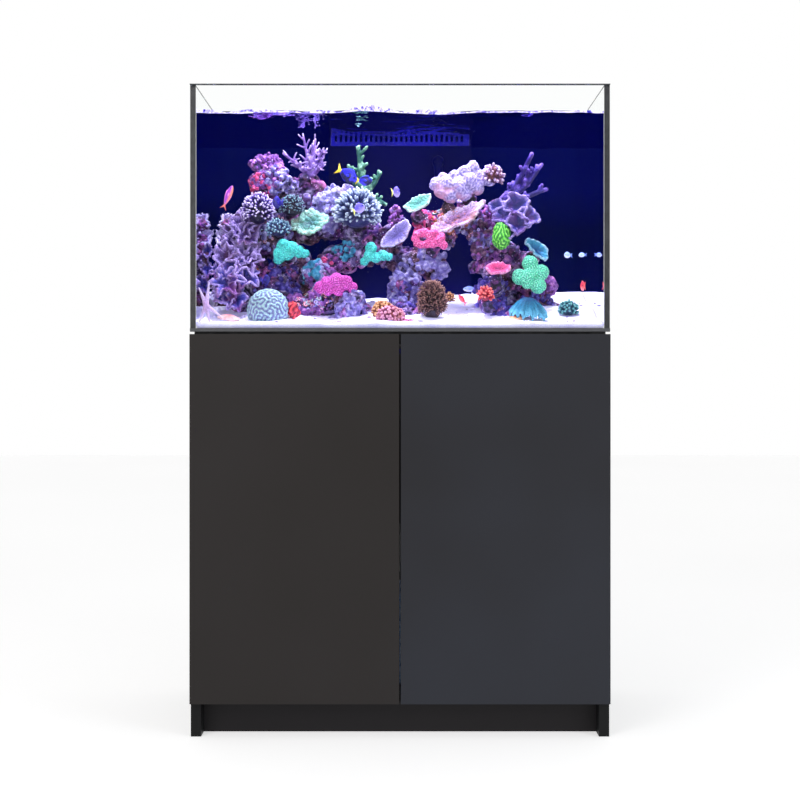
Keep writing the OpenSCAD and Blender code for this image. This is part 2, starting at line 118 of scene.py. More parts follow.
def make_world():
    world = bpy.data.worlds.new("studio")
    bpy.context.scene.world = world
    world.use_nodes = True
    tree = world.node_tree
    tree.nodes.clear()
    out = tree.nodes.new("ShaderNodeOutputWorld")
    mix = tree.nodes.new("ShaderNodeMixShader")
    path = tree.nodes.new("ShaderNodeLightPath")
    diffuse = tree.nodes.new("ShaderNodeBackground")
    white = tree.nodes.new("ShaderNodeBackground")
    for background, strength in ((diffuse, WORLD_LIGHT), (white, 1.0)):
        background.inputs["Color"].default_value = (1, 1, 1, 1)
        background.inputs["Strength"].default_value = strength
    tree.links.new(path.outputs["Is Diffuse Ray"], mix.inputs[0])
    tree.links.new(white.outputs[0], mix.inputs[1])
    tree.links.new(diffuse.outputs[0], mix.inputs[2])
    tree.links.new(mix.outputs[0], out.inputs[0])


# ---------- materials ----------
class Look:
    """A node material around one Principled shader. Texture coordinates are the object's own metres."""

    def __init__(self, name, color=(0.5, 0.5, 0.5), rough=0.5, **sockets):
        self.mat = bpy.data.materials.new(name)
        self.mat.use_nodes = True
        self.tree = self.mat.node_tree
        self.tree.nodes.clear()
        self.out = self.node("ShaderNodeOutputMaterial")
        self.shader = self.node("ShaderNodeBsdfPrincipled")
        self.link(self.shader.outputs[0], self.out.inputs[0])
        self.shader.inputs["Base Color"].default_value = (*color, 1)
        self.shader.inputs["Roughness"].default_value = rough
        for socket, value in sockets.items():
            self.shader.inputs[socket.replace("_", " ")].default_value = value
        self.coord = self.node("ShaderNodeTexCoord").outputs["Object"]

    def node(self, kind, **settings):
        new = self.tree.nodes.new(kind)
        for key, value in settings.items():
            setattr(new, key, value)
        return new

    def link(self, a, b):
        self.tree.links.new(a, b)

    def noise(self, scale, detail=3.0, rough=0.5, distort=0.0):
        n = self.node("ShaderNodeTexNoise")
        n.inputs["Scale"].default_value = scale
        n.inputs["Detail"].default_value = detail
        n.inputs["Roughness"].default_value = rough
        n.inputs["Distortion"].default_value = distort
        self.link(self.coord, n.inputs["Vector"])
        return n.outputs["Fac"]

    def cells(self, scale):
        n = self.node("ShaderNodeTexVoronoi")
        n.inputs["Scale"].default_value = scale
        self.link(self.coord, n.inputs["Vector"])
        return n.outputs["Distance"]

    def attribute(self, name):
        return self.node("ShaderNodeAttribute", attribute_name=name).outputs["Fac"]

    def ramp(self, fac, stops, mode="LINEAR"):
        n = self.node("ShaderNodeValToRGB")
        n.color_ramp.interpolation = mode
        while len(n.color_ramp.elements) < len(stops):
            n.color_ramp.elements.new(0.5)
        for element, (place, color) in zip(n.color_ramp.elements, stops):
            element.position = place
            element.color = (*color, 1)
        self.link(fac, n.inputs[0])
        return n.outputs[0]

    def mix(self, fac, a, b, blend="MIX"):
        n = self.node("ShaderNodeMix", data_type="RGBA", blend_type=blend)
        for value, socket in ((fac, n.inputs[0]), (a, n.inputs[6]), (b, n.inputs[7])):
            if isinstance(value, (int, float)):
                socket.default_value = value
            elif isinstance(value, tuple):
                socket.default_value = (*value, 1)
            else:
                self.link(value, socket)
        return n.outputs[2]

    def maths(self, how, a, b=0.0):
        n = self.node("ShaderNodeMath", operation=how)
        for value, socket in ((a, n.inputs[0]), (b, n.inputs[1])):
            if isinstance(value, (int, float)):
                socket.default_value = value
            else:
                self.link(value, socket)
        return n.outputs[0]

    def color(self, output):
        self.link(output, self.shader.inputs["Base Color"])
        return self

    def rough(self, output):
        self.link(output, self.shader.inputs["Roughness"])
        return self

    def glow(self, output, strength):
        self.link(output, self.shader.inputs["Emission Color"])
        self.shader.inputs["Emission Strength"].default_value = strength
        return self

    def bump(self, height, strength, depth):
        n = self.node("ShaderNodeBump")
        n.inputs["Strength"].default_value = strength
        n.inputs["Distance"].default_value = depth
        self.link(height, n.inputs["Height"])
        self.link(n.outputs[0], self.shader.inputs["Normal"])
        return self


def board_look(name, dark, light):
    """Matt lacquered board with a faint orange-peel surface and a painted sheen in soft, cloudy lighter
    patches.
    """
    rough = 0.45
    look = Look(name, dark, rough, Specular_IOR_Level=0.14)
    # Painted sheen: soft, cloudy patches between the dark and the light colour.
    painted_sheen_cloud = look.noise(2.2, 2)
    look.color(look.ramp(painted_sheen_cloud, [(0.3, dark), (0.7, light)]))
    look.rough(look.ramp(look.noise(9, 4), [(0.3, (rough - 0.05,) * 3), (0.7, (rough + 0.06,) * 3)]))
    look.bump(look.noise(900, 3), 0.10, 0.0004)
    return look.mat


def srgb(r, g, b):
    """A colour as it looks on a screen, 0 to 255, in the linear values that shaders take."""
    return tuple((c / 255 / 12.92) if c < 10 else ((c / 255 + 0.055) / 1.055) ** 2.4 for c in (r, g, b))


def tone_look(name, rough, grain, stops, glow=0.0, bump=None, **sockets):
    """Colours over noise of a given scale and detail. bump is a noise with its strength and depth."""
    look = Look(name, rough=rough, **sockets)
    color = look.ramp(look.noise(*grain), [(place, srgb(*rgb)) for place, rgb in stops])
    look.color(color)
    if glow:
        look.glow(color, glow)
    if bump:
        *pattern, strength, depth = bump
        look.bump(look.noise(*pattern), strength, depth)
    return look.mat


def metal_look(name, color, rough):
    look = Look(name, color, rough, Metallic=1.0)
    look.rough(look.ramp(look.noise(300, 4), [(0.2, (rough * 0.7,) * 3), (0.8, (rough * 1.5,) * 3)]))
    look.bump(look.noise(1500, 2), 0.06, 0.0002)
    return look.mat


def plastic_look(name, color, rough=0.4, grain=1400):
    look = Look(name, color, rough)
    shade = tuple(c * 0.8 for c in color)
    look.color(look.ramp(look.noise(35, 4), [(0.35, shade), (0.7, color)]))
    look.rough(look.ramp(look.noise(60, 3), [(0.3, (rough * 0.85,) * 3), (0.7, (rough * 1.2,) * 3)]))
    look.bump(look.noise(grain, 2), 0.10, 0.0003)
    return look.mat


def clear_look(name, tint, mirror, rough, ior):
    """A look that is see-through straight on and mirror-like at a grazing angle.

    Returns it with its glossy shader, its Fresnel node and the node that mixes clear and glossy."""
    look = Look(name)
    look.tree.nodes.remove(look.shader)
    clear = look.node("ShaderNodeBsdfTransparent")
    clear.inputs["Color"].default_value = (*tint, 1)
    gloss = look.node("ShaderNodeBsdfGlossy")
    gloss.inputs["Color"].default_value = (*mirror, 1)
    gloss.inputs["Roughness"].default_value = rough
    fresnel = look.node("ShaderNodeFresnel")
    fresnel.inputs["IOR"].default_value = ior
    mix = look.node("ShaderNodeMixShader")
    look.link(clear.outputs[0], mix.inputs[1])
    look.link(gloss.outputs[0], mix.inputs[2])
    look.link(mix.outputs[0], look.out.inputs[0])
    return look, gloss, fresnel, mix


def glass_look(name, tint, ior):
    """Thin glass that mirrors on its outer faces only."""
    look, _, fresnel, mix = clear_look(name, tint, (1, 1, 1), 0.02, ior)
    outside = look.maths("SUBTRACT", 1.0, look.node("ShaderNodeNewGeometry").outputs["Backfacing"])
    look.link(look.maths("MULTIPLY", fresnel.outputs[0], outside), mix.inputs[0])
    return look.mat


# ---------- mesh tools ----------
class Shape:
    """Collects vertices, faces and one or two numbers per vertex before they become a mesh."""

    def __init__(self):
        self.verts = []
        self.faces = []
        self.tip = []
        self.hue = []
        self.count = 0

    def add(self, verts, faces, tip=0.0, hue=0.0):
        verts = np.asarray(verts, float)
        n = len(verts)
        self.verts.append(verts)
        self.faces.extend([tuple(i + self.count for i in f) for f in faces])
        self.tip.append(np.broadcast_to(np.asarray(tip, float), (n,)))
        self.hue.append(np.broadcast_to(np.asarray(hue, float), (n,)))
        self.count += n

    def object(self, name, mat, body="cabinet", slot=None, smooth=True):
        mesh = bpy.data.meshes.new(name)
        verts = np.concatenate(self.verts)
        mesh.from_pydata(verts.tolist(), [], self.faces)
        for label, values in (("tip", self.tip), ("hue", self.hue)):
            layer = mesh.attributes.new(label, "FLOAT", "POINT")
            layer.data.foreach_set("value", np.concatenate(values).astype(np.float32))
        mesh.update()
        return place_mesh(name, mesh, mat, body, smooth)


def place_mesh(name, mesh, mat, body="cabinet", smooth=True):
    mesh.materials.clear()
    mesh.materials.append(mat)
    mesh.polygons.foreach_set("use_smooth", [smooth] * len(mesh.polygons))
    obj = bpy.data.objects.new(name, mesh)
    bpy.context.scene.collection.objects.link(obj)
    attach(obj, body)
    return obj


def applied(obj):
    """The mesh of obj with its modifiers applied. obj itself is deleted."""
    deps = bpy.context.evaluated_depsgraph_get()
    mesh = bpy.data.meshes.new_from_object(obj.evaluated_get(deps), depsgraph=deps)
    old = obj.data
    bpy.data.objects.remove(obj)
    bpy.data.meshes.remove(old)
    return mesh


def blended(shape, voxel, smooth=2):
    """One closed skin around everything in shape."""
    mesh = bpy.data.meshes.new("raw")
    mesh.from_pydata(np.concatenate(shape.verts).tolist(), [], shape.faces)
    obj = bpy.data.objects.new("raw", mesh)
    bpy.context.scene.collection.objects.link(obj)
    remesh = obj.modifiers.new("remesh", "REMESH")
    remesh.mode = "VOXEL"
    remesh.voxel_size = voxel
    if smooth:
        relax = obj.modifiers.new("relax", "SMOOTH")
        relax.iterations = smooth
    return applied(obj)


def points_of(mesh):
    co = np.empty(len(mesh.vertices) * 3, np.float32)
    mesh.vertices.foreach_get("co", co)
    return co.reshape(-1, 3).astype(float)


def normals_of(mesh):
    no = np.empty(len(mesh.vertices) * 3, np.float32)
    mesh.vertices.foreach_get("normal", no)
    return no.reshape(-1, 3).astype(float)


def set_points(mesh, co):
    mesh.vertices.foreach_set("co", co.astype(np.float32).ravel())
    mesh.update()


def set_layer(mesh, name, values):
    layer = mesh.attributes.get(name) or mesh.attributes.new(name, "FLOAT", "POINT")
    layer.data.foreach_set("value", np.asarray(values, np.float32))


def swell(mesh, rule):
    """Moves each vertex along its normal by rule(point)."""
    co, no = points_of(mesh), normals_of(mesh)
    step = np.array([rule(Vector(p)) for p in co])
    set_points(mesh, co + no * step[:, None])


def ring_faces(rings, sides):
    """Faces between closed rings of vertices that follow one another."""
    faces = []
    for i in range(rings - 1):
        for k in range(sides):
            a, b = i * sides + k, i * sides + (k + 1) % sides
            faces.append((a, b, b + sides, a + sides))
    return faces


def sheet_faces(columns, rows):
    """Faces of a sheet whose vertices run row by row."""
    faces = []
    for j in range(rows):
        for i in range(columns):
            a = j * (columns + 1) + i
            faces.append((a, a + 1, a + columns + 2, a + columns + 1))
    return faces


def sphere_grid(rings=12, segments=16):
    verts = [(0, 0, 1)]
    for i in range(1, rings):
        a = math.pi * i / rings
        for j in range(segments):
            b = 2 * math.pi * j / segments
            verts.append((math.sin(a) * math.cos(b), math.sin(a) * math.sin(b), math.cos(a)))
    verts.append((0, 0, -1))
    faces = [(0, 1 + j, 1 + (j + 1) % segments) for j in range(segments)]
    for i in range(rings - 2):
        for j in range(segments):
            a = 1 + i * segments + j
            b = 1 + i * segments + (j + 1) % segments
            faces.append((a, a + segments, b + segments, b))
    last = len(verts) - 1
    start = 1 + (rings - 2) * segments
    faces += [(last, start + (j + 1) % segments, start + j) for j in range(segments)]
    return np.array(verts), faces


BALL = sphere_grid()
SMALL_BALL = sphere_grid(6, 8)


def add_ball(shape, centre, radius, tip=0.0, hue=0.0, squash=(1, 1, 1), ball=BALL):
    shape.add(ball[0] * radius * np.array(squash) + np.array(centre), ball[1], tip, hue)


def add_tube(shape, path, radii, sides=8, tips=None, hue=0.0):
    """A tube along path with closed round-ish ends. tips gives one number per ring."""
    path = [Vector(p) for p in path]
    tips = tips or [0.0] * len(path)
    verts, values = [], []
    side = Vector((1, 0, 0))
    for i, p in enumerate(path):
        ahead = (path[min(i + 1, len(path) - 1)] - path[max(i - 1, 0)]).normalized()
        side = side - ahead * side.dot(ahead)
        if side.length < 1e-4:
            side = ahead.orthogonal()
        side.normalize()
        up = ahead.cross(side)
        for k in range(sides):
            a = 2 * math.pi * k / sides
            verts.append(p + (side * math.cos(a) + up * math.sin(a)) * radii[i])
            values.append(tips[i])
    faces = ring_faces(len(path), sides)
    start, end = len(verts), len(verts) + 1
    verts += [path[0] - (path[1] - path[0]).normalized() * radii[0] * 0.5,
              path[-1] + (path[-1] - path[-2]).normalized() * radii[-1] * 0.7]
    values += [tips[0], tips[-1]]
    top = (len(path) - 1) * sides
    faces += [(start, (k + 1) % sides, k) for k in range(sides)]
    faces += [(end, top + k, top + (k + 1) % sides) for k in range(sides)]
    shape.add(verts, faces, values, hue)


def spread_on_ball(count):
    """Evenly spaced directions."""
    turn = math.pi * (3 - math.sqrt(5))
    for i in range(count):
        z = 1 - 2 * (i + 0.5) / count
        r = math.sqrt(1 - z * z)
        yield Vector((r * math.cos(i * turn), r * math.sin(i * turn), z))


def rand_dir(rng):
    return Vector((rng.gauss(0, 1), rng.gauss(0, 1), rng.gauss(0, 1))).normalized()


def mm(x, y, z):
    return Vector((x, y, z)) / 1000


def ico(level):
    bm = bmesh.new()
    bmesh.ops.create_icosphere(bm, subdivisions=level, radius=1)
    mesh = bpy.data.meshes.new("ico")
    bm.to_mesh(mesh)
    bm.free()
    return mesh


def neighbours(mesh):
    """For each vertex, the numbers of its neighbours, padded with its own number."""
    near = [[] for _ in mesh.vertices]
    for e in mesh.edges:
        a, b = e.vertices
        near[a].append(b)
        near[b].append(a)
    most = max(len(n) for n in near)
    return np.array([n + [i] * (most - len(n)) for i, n in enumerate(near)])


def blur(values, near, times):
    for _ in range(times):
        values = 0.4 * values + 0.6 * values[near].mean(axis=1)
    return values


def labyrinth(mesh, seed, wide):
    """A value from -1 to 1 per vertex, in winding ridges of an even width like a brain coral's."""
    near = neighbours(mesh)
    values = np.random.default_rng(seed).normal(size=len(near))
    for _ in range(14):
        values = blur(values, near, 2) - blur(values, near, wide)
        values = np.tanh(values / (np.abs(values).mean() + 1e-9))
    return blur(values, near, 1)


# ---------- coral builders ----------
def brain_coral(name, centre, size, mat, seed, depth=0.004, level=5, wide=9, lobes=0.0, lobe_size=0.03,
                turn=0.0):
    """A domed or lobed lump with winding ridges. size is the three half-lengths."""
    mesh = ico(level)
    co = points_of(mesh)
    ridge = labyrinth(mesh, seed, wide)
    no = co.copy()
    co = co * np.array(size)
    shift = Vector((seed * 3.1, 0, 0))
    swellings = np.array([noise.noise(Vector(p) / lobe_size + shift) for p in co])
    co = co + no * (swellings * lobes)[:, None]
    co = co + no * (ridge * depth / 2)[:, None]
    spin = np.array(Matrix.Rotation(turn, 3, "Y"))
    set_points(mesh, co @ spin.T + np.array(centre))
    set_layer(mesh, "tip", (ridge + 1) / 2)
    set_layer(mesh, "hue", swellings + 0.5)
    return place_mesh(name, mesh, mat)


def lobed_coral(name, balls, mat, seed, voxel=0.0015, wide=6, depth=0.0022, wrinkle=0.0):
    """Rounded lobes under one skin of winding ridges. Each ball is (x, y, z, radius) in mm."""
    shape = Shape()
    for x, y, z, r in balls:
        add_ball(shape, mm(x, y, z), r / 1000, squash=(1, 0.8, 1))
    mesh = blended(shape, voxel, 4)
    ridge = labyrinth(mesh, seed, wide)
    co, no = points_of(mesh), normals_of(mesh)
    shift = Vector((seed * 5.7, 0, 0))
    folds = np.array([noise.fractal(Vector(p) / 0.012 + shift, 1.0, 2.0, 3) for p in co])
    set_points(mesh, co + no * (ridge * depth / 2 + folds * wrinkle)[:, None])
    set_layer(mesh, "tip", (ridge + 1) / 2)
    set_layer(mesh, "hue", np.clip(0.5 + 0.5 * folds, 0, 1))
    return place_mesh(name, mesh, mat)


def finger_ball(name, centre, size, mat, count, length, thick, seed, lean=0.25):
    """A round colony of blunt fingers with pale tips. size is its three half-lengths without them."""
    core = 0.82
    rng = random.Random(seed)
    shape = Shape()
    add_ball(shape, centre, core, 0.0, 0.2, squash=size, ball=sphere_grid(14, 22))
    for d in spread_on_ball(count):
        if d.z < -0.55:
            continue
        d = (d + rand_dir(rng) * 0.12).normalized()
        foot = Vector((d.x * size[0], d.y * size[1], d.z * size[2])) * core * 0.95
        out = Vector((d.x / size[0], d.y / size[1], d.z / size[2])).normalized()
        out = (out + rand_dir(rng) * lean + Vector((0, 0, 0.15))).normalized()
        reach = length * rng.uniform(0.75, 1.15)
        bend = rand_dir(rng) * reach * 0.12
        path = [Vector(centre) + foot + out * reach * t + bend * t * t for t in (0, 0.3, 0.6, 0.85, 1.0)]
        radii = [thick * k * rng.uniform(0.9, 1.1) for k in (1.15, 1.0, 0.92, 0.95, 0.62)]
        add_tube(shape, path, radii, 7, [0.0, 0.2, 0.5, 0.85, 1.0], rng.random())
    return shape.object(name, mat, slot="coral_bushy")


def grow(shape, skeleton, start, way, length, r0, r1, rng, twigs, twig, depth, level):
    """One branch with its twigs. twig is their length as a share of the branch's.

    skeleton collects (point, 0 to 1 from base to tip)."""
    steps = 7
    path, p, d = [start], start.copy(), way.normalized()
    for _ in range(steps - 1):
        d = (d + rand_dir(rng) * 0.16 + Vector((0, 0, 0.05))).normalized()
        p = p + d * length / (steps - 1)
        path.append(p.copy())
    radii = [r0 + (r1 - r0) * i / (steps - 1) for i in range(steps)]
    add_tube(shape, path, radii, 8)
    for i, q in enumerate(path):
        t = i / (steps - 1)
        skeleton.append((q, (depth + t) / level if t < 1 else 1.0))
    if depth + 1 >= level:
        return
    for k in range(twigs):
        i = 1 + int((k + rng.random()) / twigs * (steps - 2))
        along = (path[i + 1] - path[i]).normalized()
        side = (rand_dir(rng) - along * along.dot(rand_dir(rng))).normalized()
        side.y *= 0.7
        out = (along * 0.55 + side * 0.9 + Vector((0, -0.05, 0.3))).normalized()
        grow(shape, skeleton, path[i], out, length * twig * rng.uniform(0.7, 1.2), radii[i] * 0.75,
             r1 * 0.85, rng, max(1, twigs - 4), twig * 1.5, depth + 1, level)


def branch_coral(name, base, ends, r0, r1, mat, seed, twigs=5, twig=0.3, level=2, voxel=0.0022,
                 bump=0.0009, bump_size=0.004):
    """Tapered branches that fork on their way from base to each end, under one bumpy skin."""
    rng = random.Random(seed)
    shape, skeleton = Shape(), []
    add_ball(shape, base, r0 * 1.3)
    for end in ends:
        way = end - base
        grow(shape, skeleton, base, way, way.length, r0, r1, rng, twigs, twig, 0, level)
    mesh = blended(shape, voxel, 1)
    tree = KDTree(len(skeleton))
    for i, (p, _) in enumerate(skeleton):
        tree.insert(p, i)
    tree.balance()
    tips = [skeleton[tree.find(v.co)[1]][1] for v in mesh.vertices]
    near = neighbours(mesh)
    set_layer(mesh, "tip", blur(np.array(tips), near, 6))
    swell(mesh, lambda p: bump * (1 - min(1, 2.2 * noise.voronoi(p / bump_size)[0][0])))
    return place_mesh(name, mesh, mat)


def plate_coral(name, centre, radius, mat, seed, tilt=(0.5, 0.0), lobes=5, lobe_depth=0.16, cup=0.25,
                ruffle=0.0, ruffles=9, thick=0.005, ragged=0.0, ribs=0, rib_depth=0.0, bumps=0.0,
                bump_size=0.006, stretch=(1, 1), slot="coral_pale"):
    """A lobed plate or cup. tilt leans it towards the front and to the side, in radians."""
    rng = random.Random(seed)
    rings, segments = 26, 128
    phase = rng.uniform(0, 6.28)
    verts, tips, hues = [], [], []
    for i in range(rings + 1):
        u = i / rings
        for j in range(segments):
            a = 2 * math.pi * j / segments
            small_lobes = 0.4 * lobe_depth * math.sin((lobes * 2 + 1) * a + 2 * phase)
            edge = 1 + lobe_depth * math.sin(lobes * a + phase) + small_lobes
            edge += 0.10 * noise.noise(Vector((math.cos(a) * 1.4, math.sin(a) * 1.4, seed)))
            edge += ragged * noise.noise(Vector((math.cos(a) * 5, math.sin(a) * 5, seed * 2)))
            r = max(0.02, u) * radius * edge
            wave = ruffle * radius * u ** 3 * math.sin(ruffles * a + phase + 1.5 * math.sin(3 * a))
            height = cup * radius * u ** 1.8 + wave
            height += rib_depth * math.cos(ribs * a + 2 * math.sin(2 * a)) * u if ribs else 0.0
            p = Vector((r * math.cos(a) * stretch[0], r * math.sin(a) * stretch[1], height))
            if bumps:
                cell = noise.voronoi(p / bump_size + Vector((seed, 0, 0)))[0][0]
                p.z += bumps * max(0.0, 0.55 - cell) * 2
            verts.append(p)
            tips.append(u)
            hues.append(0.5 + 0.5 * noise.noise(p / 0.02 + Vector((0, seed, 0))))
    faces = ring_faces(rings + 1, segments)
    faces.append(tuple(range(segments - 1, -1, -1)))
    shape = Shape()
    turn = Matrix.Rotation(tilt[1], 3, "Y") @ Matrix.Rotation(tilt[0], 3, "X")
    shape.add([turn @ v + Vector(centre) for v in verts], faces, tips, hues)
    obj = shape.object("raw", mat)
    body = obj.modifiers.new("body", "SOLIDIFY")
    body.thickness = thick
    body.offset = -1
    soften = obj.modifiers.new("soften", "SMOOTH")
    soften.iterations = 1
    obj.parent = None
    mesh = applied(obj)
    return place_mesh(name, mesh, mat)


def polyp(shape, place, normal, size, hue):
    """A button polyp: a short stalk, a disc and a raised mouth, with a ring of short tentacles."""
    turn = normal.to_track_quat("Z", "Y").to_matrix()
    segments = 12
    rings = [(0.55, -0.5, 0.0), (0.6, 0.25, 0.1), (1.0, 0.42, 0.2), (0.93, 0.5, 0.45), (0.45, 0.36, 0.7),
             (0.2, 0.46, 0.9), (0.08, 0.38, 1.0)]
    verts, tips = [], []
    for r, z, t in rings:
        for k in range(segments):
            a = 2 * math.pi * k / segments
            frill = 1.0 if r < 0.9 else 1 + (0.16 if k % 2 else -0.06)
            spot = Vector((r * frill * math.cos(a), r * frill * math.sin(a), z))
            verts.append(place + turn @ spot * size)
            tips.append(t)
    faces = ring_faces(len(rings), segments)
    top = (len(rings) - 1) * segments
    faces.append(tuple(range(top, top + segments)))
    shape.add(verts, faces, tips, hue)


def skin_near(rock, centre, reach, rng):
    """Shuffled points and normals of the rock's front skin, around the place nearest to centre."""
    co, no = points_of(rock.data), normals_of(rock.data)
    front = no[:, 1] < 0.35
    middle = co[np.argmin(np.linalg.norm(co - np.array(centre), axis=1) + 10 * ~front)]
    near = list(np.where((np.linalg.norm(co - middle, axis=1) < reach) & front)[0])
    rng.shuffle(near)
    return [(Vector(co[i]), Vector(no[i])) for i in near]


def polyp_patch(name, rock, centre, reach, count, size, mat, seed):
    """Button polyps on the rock's skin around centre, kept a polyp's width apart."""
    rng = random.Random(seed)
    kept, shape = [], Shape()
    for p, normal in skin_near(rock, centre, reach, rng):
        s = size * rng.uniform(0.75, 1.2)
        if all((p - q).length > (s + t) * 0.92 for q, t in kept):
            kept.append((p, s))
            polyp(shape, p, normal, s, rng.random())
        if len(kept) >= count:
            break
    return shape.object(name, mat, slot="coral_pink")


def coral_look(name, stops, glow, grain, depth, spots=None, patches=None):
    """Colours run from the foot or valley (0) to the tip or ridge (1), over a skin of fine polyps. The
    darker feet and valleys are partly the coral's own colour and partly painted shade.
    """
    look = Look(name, rough=0.45)
    stops = [(place, srgb(*color)) for place, color in stops]
    cells = look.cells(grain)
    ragged = look.maths("ADD", look.attribute("tip"), look.maths("MULTIPLY", look.noise(55, 4), 0.34))
    color = look.ramp(look.maths("SUBTRACT", ragged, 0.17), stops)
    # Painted shade and highlight: each polyp cell is lighter at its raised middle and darker towards the
    # gaps between polyps.
    shade = look.ramp(cells, [(0.1, (1.12, 1.12, 1.12)), (0.75, (0.46, 0.44, 0.54))])
    color = look.mix(1.0, color, shade, "MULTIPLY")
    if spots:
        dots = look.ramp(look.cells(grain * 0.45), [(0.16, (1, 1, 1)), (0.24, (0, 0, 0))])
        color = look.mix(dots, color, srgb(*spots))
    if patches:
        where = look.ramp(look.noise(26, 4, 0.6, 0.5), [(0.52, (0, 0, 0)), (0.64, (0.8, 0.8, 0.8))])
        color = look.mix(where, color, srgb(*patches))
    look.color(color)
    # The glow is painted light, which keeps the colours bright in any light; on the corals it stands
    # partly for their own fluorescence.
    look.glow(color, glow * 0.5)
    look.rough(look.ramp(look.noise(80, 3), [(0.3, (0.36,) * 3), (0.7, (0.585,) * 3)]))
    look.bump(look.ramp(cells, [(0.0, (1, 1, 1)), (0.8, (0, 0, 0))]), 0.6, depth)
    return look.mat


